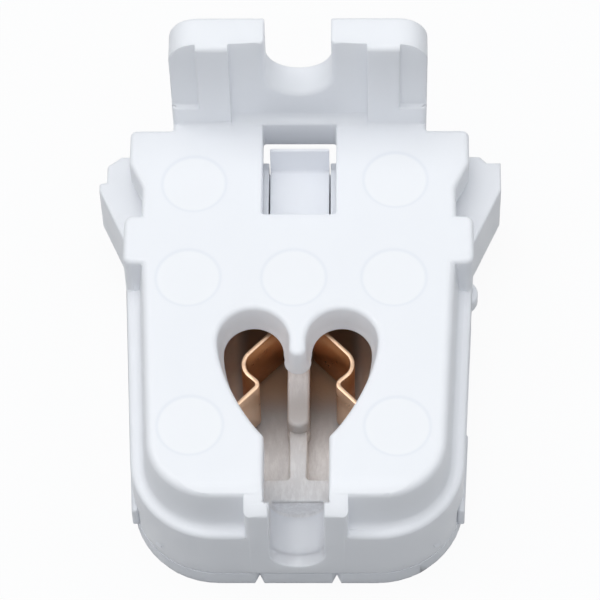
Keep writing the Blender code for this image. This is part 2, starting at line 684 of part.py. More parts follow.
def snap_wings():
    """Wedge-shaped spring wings, joined to the casing at their lower ends and hollow at the back."""
    lip_x = WING_REACH - WING_TOP_WIDTH
    lip_t = WING_TOP_T + WING_LIP
    corners = [
        (NECK_HALF, WING_ROOT_T - WALL),
        (WIDE_HALF, WING_ROOT_T),
        (WING_REACH, WING_SHOULDER_T),
        (WING_REACH, WING_TOP_T),
        (lip_x, WING_TOP_T),
        (lip_x - WING_LIP, lip_t),
        (WING_INNER, lip_t),
        (WING_INNER, HEAD_START + WALL),
        (NECK_HALF, HEAD_START - WALL / 2),
    ]
    wedge = [
        (WING_INNER, HEAD_START),
        (WIDE_HALF, HEAD_START),
        (WING_REACH, WING_SHOULDER_T),
        (WING_REACH, WING_TOP_T),
        (WING_INNER, WING_TOP_T),
    ]
    top = FACE_HEIGHT - WING_FRONT_DROP
    bottom = top - WING_DEPTH
    wings = []
    for side_name, sign in (("left", -1), ("right", 1)):
        outline = [(sign * x, t) for x, t in corners]
        wing = lofted("wing_" + side_name, rounded_top(outline, bottom, top, WING_ROUND))
        hollow = [(sign * x, t) for x, t in inset(wedge, WALL)]
        core = extruded("wing_hollow_" + side_name, hollow, bottom - PAST, top - WALL)
        wings.append(combine(wing, [core], "DIFFERENCE"))
    return wings


def side_lug():
    """A small rounded lug on the right side, close below the wing."""
    centre = (WIDE_HALF + SIDE_LUG_OUT - SIDE_LUG_RADIUS, SIDE_LUG_T)
    return extruded("side_lug", full_circle(centre, SIDE_LUG_RADIUS), SIDE_LUG_LOW, SIDE_LUG_HIGH)


def corner_catches():
    """Small catches that stand out of the round corners of the free end."""
    catches = []
    for side_name, sign in (("left", -1), ("right", 1)):
        centre = Vector((sign * (END_HALF - END_CORNER), END_CORNER))
        out = Vector((sign, -1.0)).normalized()
        across = Vector((1.0, sign)).normalized() * CATCH_HALF
        near = centre + out * (END_CORNER - WALL / 2)
        far = centre + out * (END_CORNER + CATCH_OUT)
        outline = [tuple(near - across), tuple(far - across), tuple(far + across), tuple(near + across)]
        catches.append(extruded("corner_catch_" + side_name, outline, CATCH_LOW, CATCH_HIGH))
    return catches


def contact_path():
    """Middle line of the contact strip on the +X side, as corners with bend radii."""
    axis = LOBE_T
    upper_x = POST_HALF + SEAM + STRIP_THICK / 2
    tip_x = TERMINAL_X + STRIP_THICK + SEAM
    return [
        (TAIL_X, axis - TAIL_END_DROP, 0),
        (TAIL_X, axis - TAIL_BEND_DROP, STRIP_BEND),
        (BUMP_X, axis - BUMP_DROP, BUMP_BEND),
        (POCKET_X, axis - POCKET_DROP, POCKET_BEND),
        (upper_x, axis + UPPER_BEND_RISE, STRIP_BEND),
        (upper_x, TERMINAL_TURN_T, STRIP_BEND),
        (TERMINAL_X, TERMINAL_START_T, STRIP_BEND),
        (TERMINAL_X, TERMINAL_END_T, STRIP_BEND),
        (TERMINAL_X + TERMINAL_WIDTH, TERMINAL_END_T, STRIP_BEND),
        (tip_x, CLAMP_TIP_T, 0),
    ]


def widened(path, thickness):
    """A closed outline of the given thickness round an open path."""
    sides = ([], [])
    for index, point in enumerate(path):
        here = Vector(point)
        before = Vector(path[index - 1]) if index > 0 else None
        after = Vector(path[index + 1]) if index + 1 < len(path) else None
        arms = []
        if before is not None:
            arms.append((here - before).normalized())
        if after is not None:
            arms.append((after - here).normalized())
        along = sum(arms, Vector((0.0, 0.0))).normalized()
        across = Vector((-along.y, along.x)) * (thickness / 2 / max(along.dot(arms[0]), STRETCH_LIMIT))
        sides[0].append(tuple(here + across))
        sides[1].append(tuple(here - across))
    return sides[0] + sides[1][::-1]


def wire_heights():
    return (STRIP_MIDDLE - WIRE_PITCH / 2, STRIP_MIDDLE + WIRE_PITCH / 2)


def wire_x():
    return TERMINAL_X + (STRIP_THICK + WIRE_HOLE) / 2 + SEAM


def build_contacts():
    """Two bent strips; each carries its own pair of push-in wire clamps."""
    outline = widened(rounded(contact_path(), closed=False), STRIP_THICK)
    for side_name, sign in (("left", -1), ("right", 1)):
        mirrored_outline = [(sign * x, t) for x, t in outline]
        strip = extruded("contact_" + side_name, mirrored_outline, STRIP_BASE, STRIP_TOP, PARTS)
        cuts = []
        for index, height in enumerate(wire_heights()):
            cuts.append(cone_along_y(f"strip_hole_{side_name}_{index}", WIRE_HOLE / 2, WIRE_HOLE / 2,
                                     (TERMINAL_END_T - 2 * STRIP_THICK, TERMINAL_END_T + 2 * STRIP_THICK),
                                     sign * wire_x(), height))
        slit_x = sorted((sign * (TERMINAL_X + STRIP_THICK), sign * (TERMINAL_X + TERMINAL_WIDTH / 2)))
        slit_t = (CLAMP_TIP_T - PAST, TERMINAL_END_T - STRIP_THICK)
        slit_z = (STRIP_MIDDLE - CLAMP_SLIT / 2, STRIP_MIDDLE + CLAMP_SLIT / 2)
        cuts.append(block("clamp_slit_" + side_name, slit_x, slit_t, slit_z))
        combine(strip, cuts, "DIFFERENCE")
        strip.data.materials.append(surface_finish("bronze_" + side_name, (0.80, 0.47, 0.25), 0.3, 1.0))


def build_cover():
    cover = extruded("rear_cover", cover_outline(), 0.0, COVER_PLATE, PARTS)
    adds = []
    tray_start = WALL + SEAM
    adds.append(block("entry_tray", (-TRAY_HALF, TRAY_HALF), (tray_start, STRIP_END),
                      (COVER_PLATE / 2, RIB_HEIGHT)))
    adds.append(block("channel_floor", (-CHAMBER_HALF, CHAMBER_HALF), (STRIP_START, CHAMBER_END),
                      (COVER_PLATE / 2, CHANNEL_FLOOR)))
    adds.append(block("middle_rib", (-RIB_HALF, RIB_HALF), (STRIP_START, POST_END),
                      (COVER_PLATE / 2, RIB_HEIGHT)))
    post_side = [(POST_HALF, POST_START, POST_ROUND), (POST_HALF, POST_END, 0)]
    post = rounded_top(rounded(mirrored(post_side)), COVER_PLATE / 2, POST_HEIGHT, POST_EDGE)
    adds.append(lofted("middle_post", post))
    for side_name, sign in (("left", -1), ("right", 1)):
        wall_x = sorted((sign * CHAMBER_HALF, sign * (CHAMBER_HALF - CHAMBER_WALL)))
        adds.append(block("chamber_wall_" + side_name, wall_x, (STRIP_END, CHAMBER_END),
                          (COVER_PLATE / 2, STRIP_TOP)))
    cross_half = NECK_HALF - WALL - SEAM
    adds.append(block("cross_wall", (-cross_half, cross_half), (BODY_END - CROSS_WALL, BODY_END),
                      (COVER_PLATE / 2, HEAD_UNDERSIDE - SEAM)))
    adds += tongue_guides() + side_clips()
    combine(cover, adds, "UNION")
    cuts = [entry_trough(), tongue_room()]
    for side_name, sign in (("left", -1), ("right", 1)):
        for index, height in enumerate(wire_heights()):
            name = f"{side_name}_{index}"
            x = sign * wire_x()
            through = (BODY_END - CROSS_WALL - PAST, BODY_END + PAST)
            cuts.append(cone_along_y("wire_entry_" + name, WIRE_ENTRY / 2, WIRE_ENTRY / 2, through, x,
                                     height))
            mouth = (BODY_END - (WIRE_FUNNEL - WIRE_ENTRY) / 2, BODY_END + STEP)
            cuts.append(cone_along_y("wire_funnel_" + name, WIRE_ENTRY / 2, WIRE_FUNNEL / 2, mouth, x,
                                     height))
    combine(cover, cuts, "DIFFERENCE")
    combine(cover, [spring_tongue()], "UNION")
    cover.data.materials.append(surface_finish("cover_plastic", (0.80, 0.78, 0.76), 0.45))


def cover_outline():
    """The cover follows the casing; two small notches part its middle tab."""
    notch_apex = TAB_HALF + TAB_NOTCH / 2
    side = [
        (TAB_HALF, 0.0, 0),
        (notch_apex, TAB_NOTCH, 0),
        (TAB_HALF + TAB_NOTCH, 0.0, 0),
        (END_HALF, 0.0, END_CORNER),
        (WIDE_HALF, PAD_END, 0),
        (WIDE_HALF, HEAD_START, 0),
        (NECK_HALF, HEAD_START, 0),
        (NECK_HALF, BODY_END, 0),
    ]
    return rounded(mirrored(side))


def entry_trough():
    """The half-round channel that leads the pins in."""
    centre = (0.0, ENTRY_BOTTOM + ENTRY_HALF)
    outline = arc(centre, ENTRY_HALF, 180, 360, 2 * ARC_STEPS)
    outline += [(ENTRY_HALF, FACE_HEIGHT), (-ENTRY_HALF, FACE_HEIGHT)]
    return extruded_along_y("entry_trough", outline, -PAST, STRIP_START)


def spring_tongue():
    """A leaf that stands on the cover and ends in a hook inside the window."""
    top = HEAD_UNDERSIDE - SEAM
    foot = TONGUE_ROOT_T
    hook_t = TONGUE_RIDGE_T + TONGUE_HOOK_RUN
    outline = [
        (foot, COVER_PLATE / 2, 0),
        (foot + TONGUE_ROOT_LENGTH, COVER_PLATE / 2, 0),
        (foot + TONGUE_ROOT_LENGTH, top - TONGUE_THICK, TONGUE_THICK),
        (hook_t, top - TONGUE_THICK, 0),
        (hook_t, top + TONGUE_HOOK_RISE, 0),
        (hook_t - TONGUE_TIP, top + TONGUE_HOOK_RISE, 0),
        (TONGUE_RIDGE_T, top, 0),
        (foot, top, TONGUE_THICK / 2),
    ]
    return extruded_along_x("spring_tongue", rounded(outline), -TONGUE_HALF, TONGUE_HALF)


def tongue_room():
    """Opens the cross wall where the tongue passes, with room for it to spring back."""
    half = TONGUE_HALF + SEAM
    return block("tongue_room", (-half, half), (BODY_END - 2 * CROSS_WALL, BODY_END + PAST),
                 (HEAD_UNDERSIDE - 2 * TONGUE_THICK - SEAM, FACE_HEIGHT))


def tongue_guides():
    """Walls on both sides of the tongue, joined to the cross wall."""
    inner = TONGUE_HALF + SEAM
    guides = []
    for side_name, sign in (("left", -1), ("right", 1)):
        side_x = sorted((sign * inner, sign * (inner + GUIDE_THICK)))
        guides.append(block("tongue_guide_" + side_name, side_x, (TONGUE_ROOT_T, BODY_END - CROSS_WALL / 2),
                            (COVER_PLATE / 2, HEAD_UNDERSIDE - SEAM - STEP)))
    return guides


def beside_casing(sign, inner, outer, margin=0.0):
    """A strip along the casing's side, from one distance off the side to another."""
    start = CLIP_START - margin
    end = CLIP_END + margin
    places = ((start, inner), (start, outer), (end, outer), (end, inner))
    return [(sign * (casing_half(t) + out), t) for t, out in places]


def side_clips():
    """Clips that reach up the casing's sides and stand a little proud of them."""
    inner = CLIP_PROUD - CLIP_THICK
    clips = []
    for side_name, sign in (("left", -1), ("right", 1)):
        full = beside_casing(sign, inner, CLIP_PROUD)
        top = beside_casing(sign, inner, CLIP_PROUD - CLIP_CHAMFER)
        sections = [(full, 0.0), (full, CLIP_HEIGHT - CLIP_CHAMFER), (top, CLIP_HEIGHT)]
        clips.append(lofted("side_clip_" + side_name, sections))
    return clips


def clip_recesses():
    """Recesses in the casing's sides that take the cover's clips."""
    inner = CLIP_PROUD - CLIP_THICK - SEAM
    recesses = []
    for side_name, sign in (("left", -1), ("right", 1)):
        outline = beside_casing(sign, inner, WALL, SEAM)
        recesses.append(extruded("clip_recess_" + side_name, outline, -PAST, CLIP_HEIGHT + SEAM))
    return recesses


build_housing()
build_cover()
build_contacts()
bpy.context.view_layer.update()
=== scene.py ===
from math import asin, cos, degrees, pi, radians, sin, tan

import bmesh
import bpy
from mathutils import Matrix, Vector


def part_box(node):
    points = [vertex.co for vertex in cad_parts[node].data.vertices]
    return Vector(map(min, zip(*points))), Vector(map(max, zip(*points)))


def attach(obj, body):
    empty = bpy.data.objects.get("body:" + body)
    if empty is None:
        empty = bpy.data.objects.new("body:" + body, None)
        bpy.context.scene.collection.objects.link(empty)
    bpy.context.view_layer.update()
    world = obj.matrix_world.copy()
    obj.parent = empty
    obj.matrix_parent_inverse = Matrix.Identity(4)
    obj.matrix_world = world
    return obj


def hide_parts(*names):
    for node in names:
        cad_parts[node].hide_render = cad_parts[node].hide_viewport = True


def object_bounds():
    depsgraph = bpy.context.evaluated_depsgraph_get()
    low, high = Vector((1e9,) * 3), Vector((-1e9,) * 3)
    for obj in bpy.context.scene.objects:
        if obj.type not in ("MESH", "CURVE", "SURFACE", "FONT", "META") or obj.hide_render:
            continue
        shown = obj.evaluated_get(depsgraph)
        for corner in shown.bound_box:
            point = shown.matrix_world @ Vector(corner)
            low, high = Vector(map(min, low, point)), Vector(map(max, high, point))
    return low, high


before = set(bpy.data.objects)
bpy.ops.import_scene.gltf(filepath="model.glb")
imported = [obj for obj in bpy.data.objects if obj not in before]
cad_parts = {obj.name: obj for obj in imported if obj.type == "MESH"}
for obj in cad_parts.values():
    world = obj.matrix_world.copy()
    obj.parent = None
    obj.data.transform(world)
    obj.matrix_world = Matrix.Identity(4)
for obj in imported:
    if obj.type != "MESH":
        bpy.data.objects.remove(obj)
cadLow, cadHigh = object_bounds()
print("frame loaded:", sorted(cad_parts))

# Lengths below are in millimetres: x across the holder, t from the free end, z up from the back.
mm = 0.001
halfLength = cadHigh.y / mm
flangeRise = 14.5  # how far the foot flange stands above the lamp face
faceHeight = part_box("front_housing")[1].z / mm - flangeRise
seam = 0.3  # gap between pieces that touch
past = 5.0  # how far a cutter runs past what it cuts
overlap = 0.05  # how far joined solids run into each other
leastStretch = 0.3  # limits how far out a sharp corner of an outline is pushed


def toWorld(x, t, z):
    return Vector((x, t - halfLength, z)) * mm


# Outlines

def arcPoints(centre, radius, start, end, steps):
    points = []
    for index in range(steps + 1):
        angle = radians(start + (end - start) * index / steps)
        points.append((centre[0] + radius * cos(angle), centre[1] + radius * sin(angle)))
    return points


def fullCircle(centre, radius, steps=64):
    return arcPoints(centre, radius, 0, 360, steps)[:-1]


def roundedOutline(corners, closed=True, facet=7.5):  # corners are (x, y, radius), facet is in degrees
    points = []
    count = len(corners)
    for index, (x, y, radius) in enumerate(corners):
        if radius == 0 or (not closed and index in (0, count - 1)):
            points.append((x, y))
            continue
        here = Vector((x, y))
        before = (Vector(corners[index - 1][:2]) - here).normalized()
        after = (Vector(corners[(index + 1) % count][:2]) - here).normalized()
        half = before.angle(after) / 2
        centre = here + (before + after).normalized() * (radius / sin(half))
        spoke = here + before * (radius / tan(half)) - centre
        turn = pi - 2 * half
        if spoke.x * before.y - spoke.y * before.x > 0:
            turn = -turn
        steps = max(2, round(degrees(abs(turn)) / facet))
        for step in range(steps + 1):
            points.append(tuple(centre + Matrix.Rotation(turn * step / steps, 2) @ spoke))
    return points


def mirroredOutline(rightSide):  # the +X side in order, then the same points back along the -X side
    return rightSide + [(-x, y, *rest) for x, y, *rest in reversed(rightSide)]


def bothSides(rightSide):
    return roundedOutline(mirroredOutline(rightSide))


def flipped(points, sign):
    return [(sign * x, y) for x, y in points]


def insetOutline(points, amount):
    count = len(points)
    area = sum(points[i - 1][0] * points[i][1] - points[i][0] * points[i - 1][1] for i in range(count))
    inward = 1 if area > 0 else -1
    moved = []
    for index in range(count):
        here = Vector(points[index])
        before = (here - Vector(points[index - 1])).normalized()
        after = (Vector(points[(index + 1) % count]) - here).normalized()
        normal = Vector((-before.y - after.y, before.x + after.x)).normalized()
        stretch = max(normal.dot(Vector((-before.y, before.x))), leastStretch)
        moved.append(tuple(here + normal * (inward * amount / stretch)))
    return moved


def quarterTurn(steps=4, first=1):  # angles up to 90 degrees
    return [radians(90) * step / steps for step in range(first, steps + 1)]


def roundedTop(points, low, high, radius, steps=4):  # sections whose upper edge is rounded
    sections = [(points, low), (points, high - radius)]
    for angle in quarterTurn(steps):
        sections.append((insetOutline(points, radius * (1 - cos(angle))),
                         high - radius * (1 - sin(angle))))
    return sections


def roundedBoth(points, low, high, radius, steps=4):
    upper = roundedTop(points, low + radius, high, radius, steps)[1:]
    lower = [(outline, low + high - height) for outline, height in reversed(upper)]
    return lower + upper


def flaredTop(sections, high, radius):  # a cutter's rounded rim
    points = sections[-1][0]
    rim = []
    for angle in quarterTurn():
        rim.append((insetOutline(points, radius * (cos(angle) - 1)),
                    high - radius * (1 - sin(angle))))
    return sections + rim + [(rim[-1][0], high + past)]


# Solids

def linked(name, data):
    obj = bpy.data.objects.new(name, data)
    bpy.context.scene.collection.objects.link(obj)
    return obj


def newObject(name, bm):
    bmesh.ops.recalc_face_normals(bm, faces=bm.faces)
    mesh = bpy.data.meshes.new(name)
    bm.to_mesh(mesh)
    bm.free()
    return linked(name, mesh)


def applied(obj):  # the result of the modifiers becomes the mesh
    bpy.context.view_layer.update()
    mesh = bpy.data.meshes.new_from_object(obj.evaluated_get(bpy.context.evaluated_depsgraph_get()))
    obj.modifiers.clear()
    obj.data = mesh
    return obj


def lofted(name, sections, axis="z"):  # sections are (points, height), each with the same number of points
    bm = bmesh.new()
    rings = []
    for points, height in sections:
        ring = []
        for a, b in points:
            place = {"z": (a, b, height), "t": (a, height, b), "x": (height, a, b)}[axis]
            ring.append(bm.verts.new(toWorld(*place)))
        rings.append(ring)
    for lower, upper in zip(rings, rings[1:]):
        for index in range(len(lower)):
            after = (index + 1) % len(lower)
            bm.faces.new((lower[index], lower[after], upper[after], upper[index]))
    bm.faces.new(rings[0])
    bm.faces.new(rings[-1])
    return newObject(name, bm)


def prism(name, points, low, high, axis="z"):
    return lofted(name, [(points, low), (points, high)], axis)


def box(name, xRange, tRange, zRange):
    (x0, x1), (t0, t1) = xRange, tRange
    return prism(name, [(x0, t0), (x1, t0), (x1, t1), (x0, t1)], *zRange)


def combined(obj, others, operation):
    for other in others:
        boolean = obj.modifiers.new(other.name, "BOOLEAN")
        boolean.operation = operation
        boolean.object = other
        boolean.solver = "EXACT"
    applied(obj)
    for other in others:
        bpy.data.objects.remove(other)
    return obj


rounding = {"merge": 0.003, "flatWithin": 0.6, "sharpOver": 38, "faceWeight": 90}


# Merges flat faces, rounds the sharp edges that are left and keeps the flat faces flat in shading.
# An edge that gets no width stays sharp.
def finished(obj, widthAt, segments=3):
    mesh = obj.data
    bm = bmesh.new()
    bm.from_mesh(mesh)
    bmesh.ops.remove_doubles(bm, verts=bm.verts, dist=rounding["merge"] * mm)
    flatWithin = radians(rounding["flatWithin"])
    bmesh.ops.dissolve_limit(bm, angle_limit=flatWithin, verts=bm.verts, edges=bm.edges)
    weights = bm.edges.layers.float.new("bevel_weight_edge")
    widths = {}
    for edge in bm.edges:
        if len(edge.link_faces) == 2 and edge.calc_face_angle(0) > radians(rounding["sharpOver"]):
            middle = (edge.verts[0].co + edge.verts[1].co) / 2 / mm
            widths[edge] = widthAt(middle.x, middle.y + halfLength, middle.z)
    widest = max(widths.values())
    for face in bm.faces:
        face.smooth = True
    for edge, width in widths.items():
        edge[weights] = width / widest
        edge.smooth = width > 0
    bm.to_mesh(mesh)
    bm.free()
    bevel = obj.modifiers.new("roundedEdges", "BEVEL")
    bevel.limit_method = "WEIGHT"
    bevel.width = widest * mm
    bevel.segments = segments
    bevel.use_clamp_overlap = False
    bevel.miter_outer = "MITER_ARC"
    weighted = obj.modifiers.new("flatShading", "WEIGHTED_NORMAL")
    weighted.mode = "FACE_AREA"
    weighted.weight = rounding["faceWeight"]
    weighted.keep_sharp = True
    return applied(obj)


# Materials

marks = {  # round marks, side lug and corner catches of the housing
    "ejectorRadius": 3.6, "ejectorDepth": 0.12, "ejectorRim": 0.3,
    "ejectorPlaces": ((-11.1, 10.0), (10.5, 9.9), (-11.7, 27.8), (-0.45, 27.8), (10.2, 27.8), (-11.3, 39.5),
                      (10.4, 40.0)),
    "lugT": 30.5, "lugRadius": 1.7, "lugOut": 0.6, "lugHeights": (7.0, 9.0), "lugRound": 0.3,
    "catchHalf": 0.4, "catchOut": 0.55, "catchSink": 0.1, "catchHeights": (4.2, 5.3),
}


def putOut(group, out, values):
    for name, value in values.items():
        group.links.new(value, out.inputs[name])


def groupNode(tree, group, values):
    node = tree.nodes.new("ShaderNodeGroup")
    node.node_tree = group
    for name, value in values.items():
        node.inputs[name].default_value = value
    return node


def newGroup(name, inputs, outputs):
    group = bpy.data.node_groups.new(name, "ShaderNodeTree")
    for socketName, value in inputs:
        socket = group.interface.new_socket(socketName, in_out="INPUT", socket_type="NodeSocketFloat")
        socket.default_value = value
    for socketName in outputs:
        group.interface.new_socket(socketName, in_out="OUTPUT", socket_type="NodeSocketFloat")
    return group, group.nodes.new("NodeGroupInput"), group.nodes.new("NodeGroupOutput")


def fill(tree, socket, value):
    if isinstance(value, (int, float)):
        socket.default_value = value
    else:
        tree.links.new(value, socket)


def mathNode(tree, operation, first, second=0.0, clamp=False):
    node = tree.nodes.new("ShaderNodeMath")
    node.operation = operation
    node.use_clamp = clamp
    fill(tree, node.inputs[0], first)
    fill(tree, node.inputs[1], second)
    return node.outputs[0]


def noiseNode(tree, vector, scale, detail=2.0, roughness=0.5):
    node = tree.nodes.new("ShaderNodeTexNoise")
    node.inputs["Detail"].default_value = detail
    node.inputs["Roughness"].default_value = roughness
    tree.links.new(vector, node.inputs["Vector"])
    fill(tree, node.inputs["Scale"], scale)
    return node.outputs["Fac"]


def remapped(tree, value, fromLow, fromHigh, toLow=0.0, toHigh=1.0, smooth=False):
    node = tree.nodes.new("ShaderNodeMapRange")
    if smooth:
        node.interpolation_type = "SMOOTHSTEP"
    numbers = {"From Min": fromLow, "From Max": fromHigh, "To Min": toLow, "To Max": toHigh}
    for name, number in numbers.items():
        node.inputs[name].default_value = number
    tree.links.new(value, node.inputs["Value"])
    return node.outputs["Result"]


def objectPlace(tree):
    return tree.nodes.new("ShaderNodeTexCoord").outputs["Object"]


def axesOf(tree, vector):
    node = tree.nodes.new("ShaderNodeSeparateXYZ")
    tree.links.new(vector, node.inputs["Vector"])
    return node.outputs


def stretched(tree, vector, scales):
    node = tree.nodes.new("ShaderNodeMapping")
    node.inputs["Scale"].default_value = scales
    tree.links.new(vector, node.inputs["Vector"])
    return node.outputs["Vector"]


grainLook = {
    "sinkScale": 70.0, "sinkShare": 5.0, "flowStretch": (1.0, 0.35, 1.0), "glossScale": 420.0,
    "glossRange": (0.3, 0.7), "speckScale": 230.0, "speckOver": 0.955, "speckFade": (0.05, 0.015),
}


def mouldedGrainGroup():  # fine grain of the mould, slow mottling, soft sink marks and a few dust specks
    group, into, out = newGroup("mouldedGrain", [("Grain Scale", 2600.0), ("Mottle Scale", 160.0)],
                                ["Height", "Mottle", "Gloss", "Specks"])
    place = objectPlace(group)
    grain = noiseNode(group, place, into.outputs["Grain Scale"], detail=3.0, roughness=0.6)
    sink = noiseNode(group, place, grainLook["sinkScale"], detail=1.5)
    height = mathNode(group, "ADD", grain, mathNode(group, "MULTIPLY", sink, grainLook["sinkShare"]))
    along = stretched(group, place, grainLook["flowStretch"])
    flow = noiseNode(group, along, into.outputs["Mottle Scale"], detail=4.0, roughness=0.55)
    gloss = noiseNode(group, place, grainLook["glossScale"], detail=5.0, roughness=0.65)
    cells = group.nodes.new("ShaderNodeTexVoronoi")
    cells.inputs["Scale"].default_value = grainLook["speckScale"]
    group.links.new(place, cells.inputs["Vector"])
    tint = group.nodes.new("ShaderNodeSeparateColor")
    group.links.new(cells.outputs["Color"], tint.inputs["Color"])
    rare = mathNode(group, "GREATER_THAN", tint.outputs["Red"], grainLook["speckOver"])
    dot = remapped(group, cells.outputs["Distance"], *grainLook["speckFade"])
    specks = mathNode(group, "MULTIPLY", rare, dot, clamp=True)
    putOut(group, out, {"Height": height, "Mottle": flow, "Gloss": gloss, "Specks": specks})
    return group


chamberZones = {  # where each mask starts and is full, in millimetres
    "side": (11.5, 9.5), "farEnd": (32.5, 31.0), "nearEnd": (5.6, 6.1), "bottom": (2.3, 3.0),
    "floorTop": (6.2, 4.8), "floorSide": (7.2, 5.2), "wallSide": (5.2, 7.2), "wallRun": (15.0, 20.0),
    "shadeRun": (11.5, 20.5), "deepRun": (17.5, 22.0), "postFoot": (5.5, 6.5), "postSide": (2.1, 1.5),
    "postNear": (10.0, 16.0), "postFar": (20.5, 16.5),
}


def chamberTonesGroup():  # masks for the contact chamber, its sides, its floor in two depths and its post, where painted shade and a painted bronze reflection go
    group, into, out = newGroup("chamberTones", [], ["Chamber", "Side", "Shade", "Deep", "Post"])
    axes = axesOf(group, objectPlace(group))
    aside = mathNode(group, "ABSOLUTE", axes["X"])

    def along(zone):
        start, full = chamberZones[zone]
        start, full = start - halfLength, full - halfLength
        return remapped(group, axes["Y"], start * mm, full * mm, smooth=True)

    def across(zone, smooth=True):
        start, full = chamberZones[zone]
        return remapped(group, aside, start * mm, full * mm, smooth=smooth)

    def upwards(zone):
        start, full = chamberZones[zone]
        return remapped(group, axes["Z"], start * mm, full * mm)

    def product(*masks):
        result = masks[0]
        for mask in masks[1:]:
            result = mathNode(group, "MULTIPLY", result, mask)
        return result

    chamber = product(across("side"), along("farEnd"), along("nearEnd"), upwards("bottom"))
    floor = product(chamber, upwards("floorTop"), across("floorSide"))
    post = product(chamber, upwards("postFoot"), across("postSide", smooth=False))
    putOut(group, out, {
        "Chamber": chamber, "Side": product(chamber, across("wallSide"), along("wallRun")),
        "Shade": product(floor, along("shadeRun")), "Deep": product(floor, along("deepRun")),
        "Post": product(post, along("postNear"), along("postFar")),
    })
    return group


def pinMarkGroup():  # masks of the round marks of the mould's pins on the lamp face, for a painted lighter disc and a painted shaded rim
    group, into, out = newGroup("pinMarks", [], ["Disc", "Ring"])
    flat = stretched(group, objectPlace(group), (1.0, 1.0, 0.0))
    nearest = 1.0  # further away than any mark
    for x, t in marks["ejectorPlaces"]:
        gap = group.nodes.new("ShaderNodeVectorMath")
        gap.operation = "DISTANCE"
        group.links.new(flat, gap.inputs[0])
        gap.inputs[1].default_value = (x * mm, (t - halfLength) * mm, 0.0)
        nearest = mathNode(group, "MINIMUM", gap.outputs["Value"], nearest)
    radius, rim = marks["ejectorRadius"] * mm, marks["ejectorRim"] * mm
    disc = remapped(group, nearest, radius, radius - 2 * rim, smooth=True)
    aside = mathNode(group, "ABSOLUTE", mathNode(group, "SUBTRACT", nearest, radius - rim / 2))
    putOut(group, out, {"Disc": disc, "Ring": remapped(group, aside, rim, 0.0, smooth=True)})
    return group


mouldedGrain = mouldedGrainGroup()
chamberTones = chamberTonesGroup()
pinMarks = pinMarkGroup()
print("shader groups built")


def newMaterial(name):
    material = bpy.data.materials.new(name)
    material.use_nodes = True
    tree = material.node_tree
    return material, tree, tree.nodes["Principled BSDF"]


def mixColours(tree, factor, first, second):
    node = tree.nodes.new("ShaderNodeMix")
    node.data_type = "RGBA"
    fill(tree, node.inputs["Factor"], factor)
    for socket, colour in ((node.inputs["A"], first), (node.inputs["B"], second)):
        if isinstance(colour, tuple):
            socket.default_value = (*colour, 1.0)
        else:
            tree.links.new(colour, socket)
    return node.outputs["Result"]


def bumped(tree, shader, height, strength, distance):
    bump = tree.nodes.new("ShaderNodeBump")
    fill(tree, bump.inputs["Strength"], strength)
    bump.inputs["Distance"].default_value = distance * mm
    tree.links.new(height, bump.inputs["Height"])
    tree.links.new(bump.outputs["Normal"], shader.inputs["Normal"])


def patchyGloss(tree, shader, grain, roughness):
    patches = remapped(tree, grain.outputs["Gloss"], *grainLook["glossRange"], *roughness)
    tree.links.new(patches, shader.inputs["Roughness"])


def softened(shader):  # light spreads a little inside the white plastic
    shader.inputs["Subsurface Weight"].default_value = 0.45
    shader.inputs["Subsurface Radius"].default_value = (1.0, 1.0, 1.0)
    shader.inputs["Subsurface Scale"].default_value = 1.8 * mm


def whitePlastic():
    # disc is painted light and ring is painted shade: each pin mark gets a lighter disc and a darker ring at
    # its rim, standing for how light falls on the shallow recess
    look = {"light": (0.922, 0.936, 0.972), "dull": (0.902, 0.917, 0.957), "speck": (0.42, 0.4, 0.4),
            "disc": (0.942, 0.955, 0.98), "ring": (0.82, 0.845, 0.9), "rimShadeShare": 0.5,
            "roughness": (0.34, 0.5), "bump": 0.35, "bumpDepth": 0.012}
    material, tree, shader = newMaterial("housingPlastic")
    grain = groupNode(tree, mouldedGrain, {"Grain Scale": 2600.0, "Mottle Scale": 170.0})
    pins = groupNode(tree, pinMarks, {})
    ring = mathNode(tree, "MULTIPLY", pins.outputs["Ring"], look["rimShadeShare"])
    base = mixColours(tree, grain.outputs["Mottle"], look["light"], look["dull"])
    base = mixColours(tree, pins.outputs["Disc"], base, look["disc"])
    base = mixColours(tree, ring, base, look["ring"])
    base = mixColours(tree, grain.outputs["Specks"], base, look["speck"])
    tree.links.new(base, shader.inputs["Base Color"])
    patchyGloss(tree, shader, grain, look["roughness"])
    bumped(tree, shader, grain.outputs["Height"], look["bump"], look["bumpDepth"])
    softened(shader)
    return material


